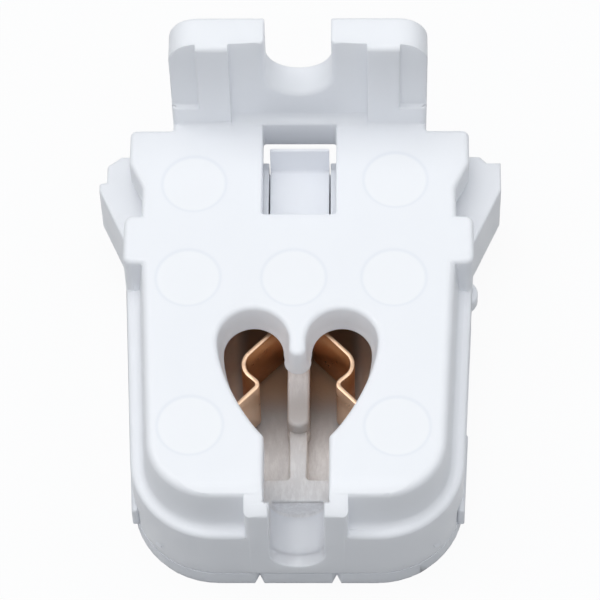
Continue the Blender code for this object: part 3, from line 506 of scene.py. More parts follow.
def coverPlastic():
    look = {"light": (0.92, 0.938, 0.98), "dull": (0.90, 0.918, 0.965), "chamberShade": (0.84, 0.835, 0.84),
            "streak": (0.95, 0.95, 0.955), "side": (0.95, 0.75, 0.62), "shaded": (0.27, 0.25, 0.242),
            "deep": (0.38, 0.26, 0.175), "post": (0.48, 0.45, 0.435), "roughness": (0.4, 0.62),
            "brushScale": 1800.0, "brushStretch": (1.0, 0.3, 1.0), "brushRange": (0.42, 0.62),
            "bump": (0.35, 1.0), "bumpDepth": 0.03}
    material, tree, shader = newMaterial("coverPlastic")
    grain = groupNode(tree, mouldedGrain, {"Grain Scale": 1500.0, "Mottle Scale": 300.0})
    room = groupNode(tree, chamberTones, {})
    along = stretched(tree, objectPlace(tree), look["brushStretch"])
    brushed = noiseNode(tree, along, look["brushScale"], detail=3.0, roughness=0.7)
    outside = mixColours(tree, grain.outputs["Mottle"], look["light"], look["dull"])
    # painted shade: the whole inside of the chamber is painted a darker grey, with lighter streaks of grain
    inside = mixColours(tree, remapped(tree, brushed, *look["brushRange"]), look["chamberShade"], look["streak"])
    base = mixColours(tree, room.outputs["Chamber"], outside, inside)
    # painted bronze reflection on the chamber's side walls, painted shade on its floor growing darker and
    # browner further in, and painted shade on the middle post
    for mask, colour in (("Side", "side"), ("Shade", "shaded"), ("Deep", "deep"), ("Post", "post")):
        base = mixColours(tree, room.outputs[mask], base, look[colour])
    tree.links.new(base, shader.inputs["Base Color"])
    patchyGloss(tree, shader, grain, look["roughness"])
    strength = remapped(tree, room.outputs["Chamber"], 0.0, 1.0, *look["bump"])
    bumped(tree, shader, grain.outputs["Height"], strength, look["bumpDepth"])
    softened(shader)
    return material


def contactBronze():
    look = {"light": (0.83, 0.45, 0.21), "dull": (0.60, 0.28, 0.11), "cut": (0.68, 0.46, 0.31),
            "near": (0.99, 0.73, 0.53), "nearRun": (18.3, 16.0), "cutFacing": (0.5, 0.8),
            "roughness": (0.24, 0.42), "bump": (0.2, 0.9), "bumpDepth": 0.015}
    material, tree, shader = newMaterial("contactBronze")
    shader.inputs["Metallic"].default_value = 1.0
    grain = groupNode(tree, mouldedGrain, {"Grain Scale": 3200.0, "Mottle Scale": 420.0})
    facing = axesOf(tree, tree.nodes.new("ShaderNodeNewGeometry").outputs["True Normal"])
    cutEdge = remapped(tree, mathNode(tree, "ABSOLUTE", facing["Z"]), *look["cutFacing"])
    # painted reflection: towards the free end the strips are painted a paler, pinker bronze, standing for
    # the brighter light they reflect there
    start, full = ((t - halfLength) * mm for t in look["nearRun"])
    near = remapped(tree, axesOf(tree, objectPlace(tree))["Y"], start, full, smooth=True)
    base = mixColours(tree, grain.outputs["Mottle"], look["light"], look["dull"])
    base = mixColours(tree, near, base, look["near"])
    base = mixColours(tree, cutEdge, base, look["cut"])
    tree.links.new(base, shader.inputs["Base Color"])
    patchyGloss(tree, shader, grain, look["roughness"])
    strength = remapped(tree, cutEdge, 0.0, 1.0, *look["bump"])
    bumped(tree, shader, grain.outputs["Height"], strength, look["bumpDepth"])
    return material


def dress(obj, material):
    obj.data.materials.clear()
    obj.data.materials.append(material)


def standsFor(obj, node):  # the object takes the place of a CAD node
    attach(obj, "root")
    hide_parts(node)
    print(node, "built:", len(obj.data.polygons), "faces")


# The housing: face, ledge, boss, wings, shoulders and foot flange in one moulding

housing = {
    "facePlate": 3.5, "wall": 1.4, "seamTop": 2.3, "ledgeDrop": 6.2, "edgeRound": 0.6,
    "wideHalf": 18.75, "endHalf": 17.2, "endCorner": 9.3, "proud": 0.05,
    "padStart": 1.9, "padInset": 1.8, "padDraft": 0.4, "padCorner": 6.9, "padEnd": 29.7, "padRound": 1.0,
    "ledgeFillet": 0.8, "filletSink": 0.03, "slopeLength": 4.2, "slopeDrop": 1.5, "slopeReach": 30.0,
    "bossHalf": 5.4, "bossLength": 4.0, "bossCorner": 0.6,
    "headStart": 35.6, "neckHalf": 15.35, "headPlate": 4.0, "notchHalf": 16.9, "notchRound": 0.8,
    "shoulderHalf": 18.4, "shoulderNotch": 3.5, "shoulderSlant": 3.1, "shoulderEnd": 46.45,
    "shoulderRound": 0.75, "bodyEnd": 44.8, "cornerRound": 0.9,
}
heart = {
    "lobeT": 20.25, "lobeX": 4.67, "lobeRadius": 3.78, "cuspT": 19.35, "cuspRadius": 0.92,
    "cuspTaper": 0.85, "cuspArc": (12, -80),
    "slotHalf": 3.4, "slotTop": 8.85, "slotStart": 1.3, "flankBend": 0.27, "flankLean": 0.55,
    "rimRound": 0.6, "upperDepth": 2.7, "upperTaper": 0.12, "lowerTaper": 0.5, "through": 1.0,
    "entryHalf": 2.9, "entryDepth": 13.1,
}
window = {"half": 4.0, "start": 35.7, "end": 47.0, "corner": 0.35}
flange = {
    "half": 13.8, "thick": 3.5, "rib": 0.8, "recessHalf": 7.4, "ribWidth": 3.45, "pocketDepth": 0.7,
    "pocketFoot": 3.0, "corner": 3.2, "notchHalf": 3.55, "notchDepth": 9.7, "notchRound": 0.65,
    "recessFillet": 1.2, "ribFillet": 0.55, "sideBlend": 0.8, "footSink": 1.0,
}
wing = {
    "reach": 22.0, "frontDrop": 5.5, "depth": 7.5, "rootT": 34.9, "shoulderT": 42.1, "topT": 45.6,
    "lip": 0.8, "topWidth": 1.5, "gap": 1.1, "round": 0.3, "stepIn": 0.8, "stepT": 43.0,
    "stepSlant": 0.1, "stepFoot": 0.4,
}
clip = {"thick": 0.8, "proud": 0.2, "chamfer": 0.4, "start": 6.0, "end": 15.2, "height": 5.2, "heel": 2.0}
edgeWidth = {"seam": 0.04, "plain": 0.18, "flange": 0.22, "cover": 0.12, "tray": 0.25}

ledgeHeight = faceHeight - housing["ledgeDrop"]
faceUnderside = faceHeight - housing["facePlate"]
headUnderside = faceHeight - housing["headPlate"]
flangeTop = faceHeight + flangeRise
lengthT = 2 * halfLength
recessT = lengthT - flange["thick"]
ribT = recessT - flange["rib"]


def casingHalf(t):
    slope = (housing["wideHalf"] - housing["proud"] - housing["endHalf"]) / housing["padEnd"]
    return housing["endHalf"] + slope * t


def casingOutline():
    far = housing["padEnd"] + housing["cornerRound"]
    tuck = housing["wall"] / 2
    side = [
        (housing["endHalf"], housing["proud"], housing["endCorner"]),
        (casingHalf(far), far, 0),
        (housing["neckHalf"] - tuck, housing["headStart"] - tuck, 0),
    ]
    return bothSides(side)


def padOutline():  # it runs on under the shoulders
    inset = housing["padInset"]
    side = [
        (housing["endHalf"] - inset, housing["padStart"], housing["padCorner"]),
        (casingHalf(housing["padEnd"]) - inset, housing["padEnd"] + 2 * housing["wall"], 0),
    ]
    return bothSides(side)


def padSections():  # hollow blend at the foot, drafted sides and a rounded top
    outline = padOutline()
    draft, fillet = housing["padDraft"], housing["ledgeFillet"]
    foot = insetOutline(outline, -draft - fillet)
    sections = [(foot, housing["seamTop"] + housing["wall"]), (foot, ledgeHeight - housing["filletSink"])]
    for angle in quarterTurn():
        sections.append((insetOutline(outline, -draft - fillet * (1 - sin(angle))),
                         ledgeHeight + fillet * (1 - cos(angle))))
    return sections + roundedTop(outline, ledgeHeight, faceHeight, housing["padRound"])[1:]


def upperOutline():
    wide, neck, head = housing["wideHalf"], housing["neckHalf"], housing["headStart"]
    corner = housing["cornerRound"]
    side = [(wide, housing["padEnd"], corner), (wide, head, corner), (neck, head, 0),
            (neck, housing["bodyEnd"], 0)]
    return bothSides(side)


def shoulderOutline():
    notch, half, bend = housing["notchHalf"], housing["shoulderHalf"], housing["notchRound"]
    notchEnd = housing["headStart"] + housing["shoulderNotch"]
    side = [
        (notch, housing["headStart"] - housing["wall"], 0), (notch, notchEnd, bend),
        (half, notchEnd + housing["shoulderSlant"], bend),
        (half, housing["shoulderEnd"], housing["shoulderRound"]),
    ]
    return bothSides(side)


def bossOutline():
    half = housing["bossHalf"]
    side = [(half, 0.0, housing["bossCorner"]), (half, housing["bossLength"], 0)]
    return bothSides(side)


def footOutline():
    half = flange["half"] - housing["proud"]
    near = housing["shoulderEnd"] - housing["edgeRound"]
    blend = flange["sideBlend"]
    side = [(half + blend, near - flange["footSink"]), (half + blend, near), (half, near + blend),
            (half, recessT + housing["wall"])]
    return mirroredOutline(side)


def heartOutline(taper):
    radius = heart["lobeRadius"] - taper
    side = (heart["lobeX"] + radius, heart["lobeT"])
    corner = (heart["slotHalf"], heart["slotTop"])
    drop = side[1] - corner[1]
    handleA = (side[0], side[1] - heart["flankBend"] * drop)
    handleB = (corner[0] + heart["flankLean"] * (side[0] - corner[0]), corner[1] + heart["flankBend"] * drop)
    right = [(heart["slotHalf"], heart["slotStart"]), corner]
    steps = 14
    for index in range(1, steps):
        a = index / steps
        b = 1 - a
        weights = (b ** 3, 3 * b * b * a, 3 * b * a * a, a ** 3)
        ends = (corner, handleB, handleA, side)
        right.append(tuple(sum(w * p[axis] for w, p in zip(weights, ends)) for axis in (0, 1)))
    right += arcPoints((heart["lobeX"], heart["lobeT"]), radius, 0, 180, steps=28)
    cuspRadius = heart["cuspRadius"] + heart["cuspTaper"] * taper
    right += arcPoints((0.0, heart["cuspT"]), cuspRadius, *heart["cuspArc"], steps=8)
    return mirroredOutline(right)


def heartCutter():
    lowOutline = heartOutline(heart["upperTaper"] + heart["lowerTaper"])
    sections = [
        (lowOutline, faceUnderside - heart["through"]), (lowOutline, faceUnderside - overlap),
        (heartOutline(heart["upperTaper"]), faceHeight - heart["upperDepth"]),
        (heartOutline(0.0), faceHeight - heart["rimRound"]),
    ]
    return lofted("heartCut", flaredTop(sections, faceHeight, heart["rimRound"]))


def entryOutline(top):  # the entry slot from its round bottom up
    half = heart["entryHalf"]
    bottom = arcPoints((0.0, faceHeight - heart["entryDepth"] + half), half, 180, 360, steps=30)
    return bottom + [(half, top), (-half, top)]


def entryCutter():
    end = housing["bossLength"] + housing["wall"]
    return prism("entryCut", entryOutline(faceHeight + past), -past, end, "t")


def endSlopeCutter():  # the face rolls off towards the free end
    run, drop, reach = housing["slopeLength"], housing["slopeDrop"], housing["slopeReach"]
    radius = (run * run + drop * drop) / (2 * drop)
    turn = degrees(asin(run / radius))
    outline = arcPoints((run, faceHeight - radius), radius, 90, 90 + turn, steps=14)
    outline += [(-past, faceHeight - drop), (-past, faceHeight + 2 * past), (run, faceHeight + 2 * past)]
    return prism("endSlope", outline, -reach, reach, "x")


def windowCutter():
    side = [(window["half"], window[end], window["corner"]) for end in ("start", "end")]
    return prism("windowCut", bothSides(side), headUnderside - past, faceHeight + past)


def footFlange():
    half = flange["half"]
    side = [(half, headUnderside, housing["cornerRound"]), (half, flangeTop, flange["corner"])]
    outline = bothSides(side)
    upright = lofted("footFlange", roundedBoth(outline, ribT, lengthT, housing["edgeRound"]), "t")
    notchHalf = flange["notchHalf"]
    notch = arcPoints((0.0, flangeTop - flange["notchDepth"] + notchHalf), notchHalf, 180, 360, steps=32)
    notch += [(notchHalf, flangeTop + past), (-notchHalf, flangeTop + past)]
    rim = []
    for angle in quarterTurn(first=0):
        rim.append((insetOutline(notch, flange["notchRound"] * (sin(angle) - 1)),
                    recessT + flange["notchRound"] * (1 - cos(angle))))
    sections = [(rim[0][0], ribT - past)] + rim + [(notch, lengthT + past)]
    cuts = [lofted("screwNotch", sections, "t")]
    recess = flange["recessHalf"]
    cuts.append(box("flangeRecess", (-recess, recess), (ribT - past, recessT),
                    (faceHeight - housing["wall"], flangeTop + past)))
    pocketX = recess + flange["ribWidth"]
    for sign in (-1, 1):
        xRange = sorted((sign * pocketX, sign * (half + past)))
        cuts.append(box("flangePocket", xRange, (ribT - past, ribT + flange["pocketDepth"]),
                        (faceHeight + flange["pocketFoot"], flangeTop + past)))
    return combined(upright, cuts, "DIFFERENCE")


def footFillets():  # hollow blends where the flange rises out of the face
    ribEnd = flange["half"] - housing["edgeRound"]
    recess = flange["recessHalf"]
    fillets = []
    for t, radius, low, high in ((recessT, flange["recessFillet"], -recess - overlap, recess + overlap),
                                 (ribT, flange["ribFillet"], -ribEnd, -recess),
                                 (ribT, flange["ribFillet"], recess, ribEnd)):
        outline = arcPoints((t - radius, faceHeight + radius), radius, -90, 0, steps=8)
        outline += [(t + overlap, faceHeight + radius), (t + overlap, faceHeight - overlap),
                    (t - radius, faceHeight - overlap)]
        fillets.append(prism("footFillet", outline, low, high, "x"))
    return fillets


def snapWings():
    neck, wide, wall = housing["neckHalf"], housing["wideHalf"], housing["wall"]
    headStart = housing["headStart"]
    inner = neck + wing["gap"]
    reach, topT = wing["reach"], wing["topT"]
    shoulder = (reach, wing["shoulderT"])
    lipX = reach - wing["topWidth"]
    lip = (lipX - wing["lip"], topT + wing["lip"])
    root = [(neck, wing["rootT"] - wall), (wide, wing["rootT"]), shoulder]
    back = [lip, (inner, lip[1]), (inner, headStart + wall), (neck, headStart - wall / 2)]
    stepX = reach - wing["stepIn"]
    plain = root + [(reach, topT), (lipX, topT)] + back
    stepped = root + [(reach, wing["stepT"]), (stepX, wing["stepT"] + wing["stepSlant"]),
                      (stepX, topT - wing["stepFoot"])] + back
    wedge = [(inner, headStart), (wide, headStart), shoulder, (reach, topT), (inner, topT)]
    top = faceHeight - wing["frontDrop"]
    wings = []
    for sign, outline in ((-1, stepped), (1, plain)):  # the left wing's outer corner is stepped
        sections = roundedTop(flipped(outline, sign), top - wing["depth"], top, wing["round"], steps=3)
        core = prism("wingCore", flipped(insetOutline(wedge, wall), sign), -past, top - wall)
        wings.append(combined(lofted("wing", sections), [core], "DIFFERENCE"))
    return wings


def sideLug():
    radius = marks["lugRadius"]
    circle = fullCircle((housing["wideHalf"] + marks["lugOut"] - radius, marks["lugT"]), radius)
    return lofted("sideLug", roundedBoth(circle, *marks["lugHeights"], marks["lugRound"], steps=3))


def cornerCatches():  # wedges that stand out furthest at their foot
    corner = housing["endCorner"]
    catches = []
    for sign in (-1, 1):
        centre = Vector((sign * (housing["endHalf"] - corner), corner))
        out = Vector((sign, -1.0)).normalized()
        across = Vector((1.0, sign)).normalized() * marks["catchHalf"]
        near = centre + out * (corner - housing["wall"] / 2)
        sections = []
        for reach, height in zip((marks["catchOut"], -marks["catchSink"]), marks["catchHeights"]):
            far = centre + out * (corner + reach)
            outline = [tuple(near - across), tuple(far - across), tuple(far + across), tuple(near + across)]
            sections.append((outline, height))
        catches.append(lofted("cornerCatch", sections))
    return catches


def ejectorMarks():
    floor = faceHeight - marks["ejectorDepth"]
    circles = []
    for centre in marks["ejectorPlaces"]:
        inner = fullCircle(centre, marks["ejectorRadius"] - marks["ejectorRim"])
        outer = fullCircle(centre, marks["ejectorRadius"])
        sections = [(inner, floor), (outer, faceHeight), (outer, faceHeight + past)]
        circles.append(lofted("ejectorMark", sections))
    return circles


def besideCasing(sign, inner, outer, margin=0.0):
    start, end = clip["start"] - margin, clip["end"] + margin
    places = ((start, inner), (start, outer), (end, outer), (end, inner))
    return [(sign * (casingHalf(t) + out), t) for t, out in places]


def clipRecesses():
    inner, outer = clip["proud"] - clip["thick"] - seam, housing["wall"]
    return [prism("clipRecess", besideCasing(sign, inner, outer, seam), -past, clip["height"] + seam)
            for sign in (-1, 1)]


def isInside(points, x, y):
    crossings = 0
    for (ax, ay), (bx, by) in zip(points, points[1:] + points[:1]):
        if (ay > y) != (by > y) and x < ax + (y - ay) * (bx - ax) / (by - ay):
            crossings += 1
    return crossings % 2 == 1


def sharpZones():  # where edges stay sharp: ranges of |x|, t and z, a little wider than each feature
    far = 100.0
    neck, head, boss = housing["neckHalf"], housing["headStart"], housing["bossHalf"]
    flat = boss - housing["bossCorner"]
    wingTop = faceHeight - wing["frontDrop"]
    lugT, lugHeights = marks["lugT"], marks["lugHeights"]
    return (
        ((flat - 0.1, far), (-far, 6.0), (ledgeHeight + 0.4, far)),  # the raised face's end
        ((3.6, boss + 0.9), (1.0, 6.0), (ledgeHeight - 0.5, far)),  # the boss's sides
        ((12.0, far), (-far, 5.0), (-far, marks["catchHeights"][1] + 0.2)),  # corner catches
        ((-far, far), (lugT - 2.5, lugT + 2.5), (lugHeights[0] - 0.2, lugHeights[1] + 0.2)),  # side lug
        ((-far, neck - 0.7), (head - 1.4, far), (-far, headUnderside + 0.1)),  # room under the head
        ((neck, far), (head + 0.5, far), (-far, wingTop - 0.7)),  # inside the wings
        ((neck, far), (wing["rootT"] - 1.6, wing["rootT"] + 1.6), (-far, wingTop + 0.4)),  # wings' roots
        ((12.0, far), (housing["shoulderEnd"] - 1.2, far), (-far, faceHeight + 0.6)),  # shoulders' ends
        ((5.0, far), (ribT - 1.5, far), (faceHeight - 0.2, faceHeight + 1.4)),  # the flange's foot
        ((5.0, far), (ribT - 1.5, far), (flangeTop - 1.2, far)),  # the flange's top
    )


housingSharp = sharpZones()
casingInside = insetOutline(casingOutline(), housing["wall"] / 2)


def housingEdgeWidth(x, t, z):  # no width inside the casing and where blends run together
    if z < housing["seamTop"] + 2 * overlap:
        return edgeWidth["seam"]
    if z < faceUnderside + 2 * overlap and isInside(casingInside, x, t):
        return 0.0
    for limits in housingSharp:
        if all(low < value < high for value, (low, high) in zip((abs(x), t, z), limits)):
            return 0.0
    if z > faceHeight + 0.2 and t > ribT - 0.2:
        return edgeWidth["flange"]
    return edgeWidth["plain"]


def buildHousing():
    low, edge, wall = housing["seamTop"], housing["edgeRound"], housing["wall"]
    room = housing["neckHalf"] - wall
    shell = lofted("housing", roundedTop(casingOutline(), low, ledgeHeight, edge))
    adds = [
        lofted("pad", padSections()),
        lofted("upper", roundedTop(upperOutline(), low, faceHeight, edge)),
        lofted("shoulders", roundedTop(shoulderOutline(), headUnderside, faceHeight, edge)),
        lofted("boss", roundedTop(bossOutline(), low + overlap, faceHeight, edge)),
        lofted("foot", roundedTop(footOutline(), headUnderside + overlap, faceHeight, edge)),
        footFlange(), sideLug(),
    ]
    combined(shell, adds + footFillets() + snapWings() + cornerCatches(), "UNION")
    cuts = [
        endSlopeCutter(), heartCutter(), entryCutter(), windowCutter(),
        prism("lowerRoom", insetOutline(casingOutline(), wall), -past, ledgeHeight - wall),
        prism("upperRoom", insetOutline(padOutline(), wall), ledgeHeight - 2 * wall, faceUnderside),
        box("headRoom", (-room, room), (housing["padEnd"] - wall, lengthT + past), (-past, headUnderside)),
    ]
    combined(shell, cuts + ejectorMarks() + clipRecesses(), "DIFFERENCE")
    dress(finished(shell, housingEdgeWidth), whitePlastic())
    standsFor(shell, "front_housing")


# The rear cover: plate, channel, post, chamber walls, cross wall, hooked tongue and side clips

cover = {
    "plate": 2.0, "rimTop": 2.22, "floor": 4.0, "ribDrop": 10.0, "ribHalf": 0.95, "trayHalf": 4.6,
    "trayGap": 0.02, "stripStart": 6.2, "stripEnd": 8.85, "postHalf": 1.18, "postRound": 1.05,
    "postDrop": 8.3, "postStart": 14.3, "postEnd": 28.2, "postEdge": 0.4, "chamberHalf": 9.6,
    "chamberWall": 1.2, "chamberEnd": 29.2, "strips": 12.7, "crossWall": 2.5,
    "tongueHalf": 3.22, "tongueGap": 0.15, "tongueThick": 1.2, "tongueRoot": 32.5,
    "rootLength": 2.2, "ridgeT": 43.7, "ridgeRound": 0.4, "hookRise": 3.1, "hookRun": 1.0, "hookTip": 0.35,
    "hookRound": 0.08, "guideThick": 1.2, "guideStop": 1.2, "tabHalf": 3.6, "tabNotch": 1.0,
    "wireEntry": 1.3, "wireMouth": 1.9, "mouthDepth": 0.6, "wireX": 7.95, "wireMiddle": 8.7,
    "wirePitch": 4.0, "endReach": 1.9, "trayReach": 12.0,
}
coverHalf = cover["plate"] / 2


def coverOutline():
    wide, neck, head = housing["wideHalf"], housing["neckHalf"], housing["headStart"]
    tab, notch = cover["tabHalf"], cover["tabNotch"]
    side = [
        (tab, 0.0, 0), (tab + notch / 2, notch, 0), (tab + notch, 0.0, 0),
        (housing["endHalf"], 0.0, housing["endCorner"]), (wide, housing["padEnd"], 0), (wide, head, 0),
        (neck, head, 0), (neck, housing["bodyEnd"], 0),
    ]
    return bothSides(side)


def entryTrough():
    return prism("entryTrough", entryOutline(faceHeight), -past, cover["stripStart"], "t")


def springTongue():
    top = headUnderside - seam
    hookTop = top + cover["hookRise"]
    foot, ridge, thick = cover["tongueRoot"], cover["ridgeT"], cover["tongueThick"]
    bend = foot + cover["rootLength"]
    hook = ridge + cover["hookRun"]
    outline = [
        (foot, coverHalf, 0), (bend, coverHalf, 0), (bend, top - thick, thick), (hook, top - thick, 0),
        (hook, hookTop, cover["hookRound"]), (hook - cover["hookTip"], hookTop, cover["hookRound"]),
        (ridge, top, cover["ridgeRound"]), (foot, top, thick / 2),
    ]
    half = cover["tongueHalf"]
    return prism("springTongue", roundedOutline(outline), -half, half, "x")


def sideClips():  # their foot is sloped at the free end, their top is chamfered
    inner = clip["proud"] - clip["thick"]
    clips = []
    for sign in (-1, 1):
        full = besideCasing(sign, inner, clip["proud"])
        foot = [(x, t + (clip["heel"] if t < clip["end"] else 0.0)) for x, t in full]
        top = besideCasing(sign, inner, clip["proud"] - clip["chamfer"])
        sections = [(foot, 0.0), (full, clip["heel"]), (full, clip["height"] - clip["chamfer"]),
                    (top, clip["height"])]
        clips.append(lofted("sideClip", sections))
    return clips


def wireEntries():
    end = housing["bodyEnd"]
    holes = []
    for sign in (-1, 1):
        for step in (-0.5, 0.5):
            centre = (sign * cover["wireX"], cover["wireMiddle"] + step * cover["wirePitch"])
            entry = fullCircle(centre, cover["wireEntry"], steps=32)
            mouth = fullCircle(centre, cover["wireMouth"], steps=32)
            sections = [(entry, end - cover["crossWall"] - past), (entry, end - cover["mouthDepth"]),
                        (mouth, end), (mouth, end + past)]
            holes.append(lofted("wireEntry", sections, "t"))
    return holes


def coverEdgeWidth(x, t, z):  # no width at the post's front and at the free end
    if cover["rimTop"] - overlap < z < cover["rimTop"] + overlap:
        return edgeWidth["seam"]
    if cover["postStart"] - 1.0 < t < cover["postStart"] + 2.0 and z > cover["floor"]:
        return 0.0
    if t < cover["endReach"]:
        return 0.0
    if t < cover["trayReach"] and z > cover["plate"]:
        return edgeWidth["tray"]
    return edgeWidth["cover"]


def buildCover():
    ribHeight = faceHeight - cover["ribDrop"]
    wallTop = headUnderside - seam
    plate = prism("cover", coverOutline(), 0.0, cover["rimTop"])
    postHalf = cover["postHalf"]
    postSide = [(postHalf, cover["postStart"], cover["postRound"]), (postHalf, cover["postEnd"], 0)]
    post = roundedTop(roundedOutline(mirroredOutline(postSide)), coverHalf, faceHeight - cover["postDrop"],
                      cover["postEdge"])
    tray, chamber, rib = cover["trayHalf"], cover["chamberHalf"], cover["ribHalf"]
    cross = housing["neckHalf"] - housing["wall"] - seam
    end = housing["bodyEnd"]
    adds = [
        box("entryTray", (-tray, tray), (housing["wall"] + cover["trayGap"], cover["stripEnd"]),
            (coverHalf, ribHeight)),
        box("channelFloor", (-chamber, chamber), (cover["stripStart"], cover["chamberEnd"]),
            (coverHalf, cover["floor"])),
        box("middleRib", (-rib, rib), (cover["stripStart"], cover["postEnd"]), (coverHalf, ribHeight)),
        lofted("middlePost", post),
        box("crossWall", (-cross, cross), (end - cover["crossWall"], end), (coverHalf, wallTop)),
    ]
    guide = cover["tongueHalf"] + cover["tongueGap"]
    for sign in (-1, 1):
        wallX = sorted((sign * chamber, sign * (chamber - cover["chamberWall"])))
        adds.append(box("chamberWall", wallX, (cover["stripEnd"], cover["chamberEnd"]),
                        (coverHalf, cover["strips"])))
        guideX = sorted((sign * guide, sign * (guide + cover["guideThick"])))
        adds.append(box("tongueGuide", guideX, (cover["tongueRoot"], end - cover["guideStop"]),
                        (coverHalf, wallTop)))
    combined(plate, adds + sideClips(), "UNION")
    room = box("tongueRoom", (-guide, guide), (end - 2 * cover["crossWall"], end + past),
               (headUnderside - 2 * cover["tongueThick"] - seam, faceHeight))
    combined(plate, [entryTrough(), room] + wireEntries(), "DIFFERENCE")
    combined(plate, [springTongue()], "UNION")
    dress(finished(plate, coverEdgeWidth, segments=2), coverPlastic())
    standsFor(plate, "rear_cover")


# The contacts: two bent strips with their wire clamps

contact = {
    "thick": 0.5, "base": 4.7, "width": 8.0, "edge": 0.09,
    "path": (  # middle line on the +X side: x, t, bend radius
        (6.9, 10.65, 0), (6.9, 14.25, 0.8), (4.02, 17.25, 0.65), (6.62, 19.55, 1.9), (1.73, 24.65, 0.8),
        (1.73, 28.9, 0.8), (6.4, 31.0, 0.8), (6.4, 39.8, 0.8), (12.6, 39.8, 0.8), (7.2, 33.4, 0)),
    "hole": 1.0, "slit": 0.6, "slitReach": 3.1, "sharpOver": 50,
}


def widened(path, thickness):  # a closed outline round an open path
    sides = ([], [])
    for index, point in enumerate(path):
        here = Vector(point)
        arms = []
        if index > 0:
            arms.append((here - Vector(path[index - 1])).normalized())
        if index + 1 < len(path):
            arms.append((Vector(path[index + 1]) - here).normalized())
        along = sum(arms, Vector((0.0, 0.0))).normalized()
        across = Vector((-along.y, along.x)) * (thickness / 2 / max(along.dot(arms[0]), leastStretch))
        sides[0].append(tuple(here + across))
        sides[1].append(tuple(here - across))
    return sides[0] + sides[1][::-1]


def buildContact(side, sign, bronze):
    thick, base = contact["thick"], contact["base"]
    path = roundedOutline(contact["path"], closed=False, facet=6.0)
    outline = flipped(widened(path, thick), sign)
    strip = lofted("contact", roundedBoth(outline, base, base + contact["width"], contact["edge"], steps=2))
    bendX, turnT = contact["path"][7][:2]  # where the strip turns back to its clamps
    clampT = contact["path"][9][1]
    middle = base + contact["width"] / 2
    slitX = sorted((sign * (bendX + thick), sign * (bendX + contact["slitReach"])))
    cuts = [box("clampSlit", slitX, (clampT - past, turnT - thick),
                (middle - contact["slit"] / 2, middle + contact["slit"] / 2))]
    for step in (-0.5, 0.5):
        centre = (sign * cover["wireX"], middle + step * cover["wirePitch"])
        circle = fullCircle(centre, contact["hole"], steps=32)
        cuts.append(prism("wireHole", circle, turnT - 2 * thick, turnT + 2 * thick, "t"))
    combined(strip, cuts, "DIFFERENCE")
    strip.data.shade_smooth()
    strip.data.set_sharp_from_angle(angle=radians(contact["sharpOver"]))
    dress(strip, bronze)
    standsFor(strip, "contact_" + side)


buildHousing()
buildCover()
bronze = contactBronze()
buildContact("left", -1, bronze)
buildContact("right", 1, bronze)


# Floor, lights and camera

studio = {
    "floorSize": 2.0, "floorDrop": 0.02, "floorColour": (0.25, 0.255, 0.265), "floorWhite": 1.19,
    "whiteShare": 0.78, "skyColour": (0.9, 0.945, 1.0), "skyStrength": 0.49, "sunAngle": 35,
    "suns": (("left", 0.54, (-0.62, 0.14, 0.77)), ("right", 0.36, (0.62, 0.14, 0.77)),
             ("above", 0.63, (-0.1, 0.12, 0.99)), ("front", 0.32, (-0.1, -0.6, 0.79))),
}


def seenDirectly(tree):  # what the camera and the gloss on the holder see of the surroundings
    path = tree.nodes.new("ShaderNodeLightPath")
    seen = mathNode(tree, "MAXIMUM", path.outputs["Is Camera Ray"], path.outputs["Is Glossy Ray"])
    return mathNode(tree, "MAXIMUM", seen, path.outputs["Is Transmission Ray"])


def buildFloor():
    bm = bmesh.new()
    bmesh.ops.create_grid(bm, x_segments=1, y_segments=1, size=studio["floorSize"])
    floor = newObject("floor", bm)
    floor.location.z = -studio["floorDrop"] * mm
    material, tree, shader = newMaterial("paleFloor")
    shader.inputs["Base Color"].default_value = (*studio["floorColour"], 1.0)
    shader.inputs["Roughness"].default_value = 0.9
    shader.inputs["Specular IOR Level"].default_value = 0.0
    white = tree.nodes.new("ShaderNodeEmission")
    white.inputs["Strength"].default_value = studio["floorWhite"]
    mix = tree.nodes.new("ShaderNodeMixShader")
    share = mathNode(tree, "MULTIPLY", seenDirectly(tree), studio["whiteShare"])
    tree.links.new(share, mix.inputs["Fac"])
    tree.links.new(shader.outputs["BSDF"], mix.inputs[1])
    tree.links.new(white.outputs["Emission"], mix.inputs[2])
    tree.links.new(mix.outputs["Shader"], tree.nodes["Material Output"].inputs["Surface"])
    dress(floor, material)


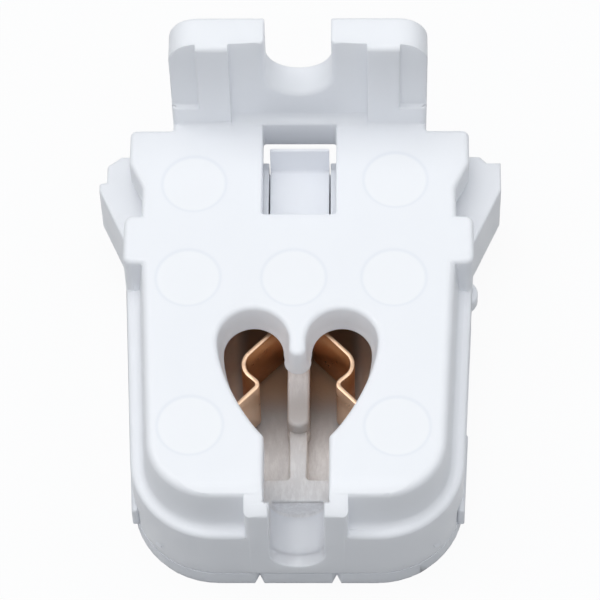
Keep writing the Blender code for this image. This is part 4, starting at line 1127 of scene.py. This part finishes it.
def buildLights():
    world = bpy.data.worlds.new("studio")
    bpy.context.scene.world = world
    world.use_nodes = True
    tree = world.node_tree
    background = tree.nodes["Background"]
    background.inputs["Color"].default_value = (*studio["skyColour"], 1.0)
    strength = remapped(tree, seenDirectly(tree), 0.0, 1.0, studio["skyStrength"], 1.0)
    tree.links.new(strength, background.inputs["Strength"])
    for name, energy, towards in studio["suns"]:
        sun = bpy.data.lights.new(name, "SUN")
        sun.energy = energy
        sun.angle = radians(studio["sunAngle"])
        lamp = linked(name, sun)
        lamp.rotation_mode = "QUATERNION"
        lamp.rotation_quaternion = Vector(towards).to_track_quat("Z", "Y")


def buildCamera():
    view = {"azimuth": 2.18, "elevation": 60.0, "roll": -1.93, "distance": 400.0, "pixelsPerMm": 9.5,
            "targetT": 20.0, "targetPixel": (297.3, 341.15), "frame": 600.0, "sensor": 36.0,
            "clipStart": 0.01}
    azimuth, elevation, roll = (radians(view[name]) for name in ("azimuth", "elevation", "roll"))
    back = Vector((sin(azimuth) * cos(elevation), -cos(azimuth) * cos(elevation), sin(elevation)))
    right = Vector((cos(azimuth), sin(azimuth), 0.0))
    up = back.cross(right)
    across = right * cos(roll) + up * sin(roll)
    upwards = up * cos(roll) - right * sin(roll)
    middle = view["frame"] / 2
    offX = (middle - view["targetPixel"][0]) / view["pixelsPerMm"]
    offY = (view["targetPixel"][1] - middle) / view["pixelsPerMm"]
    target = toWorld(0.0, view["targetT"], faceHeight)
    place = target + (across * offX + upwards * offY + back * view["distance"]) * mm
    data = bpy.data.cameras.new("camera")
    data.sensor_width = view["sensor"]
    data.lens = view["pixelsPerMm"] * view["distance"] * view["sensor"] / view["frame"]
    data.clip_start = view["clipStart"]
    camera = linked("camera", data)
    turn = Matrix((across, upwards, back)).transposed().to_4x4()
    camera.matrix_world = Matrix.Translation(place) @ turn
    bpy.context.scene.camera = camera


buildFloor()
buildLights()
buildCamera()
bpy.context.scene.view_settings.view_transform = "Standard"
print("floor, lights and camera set")
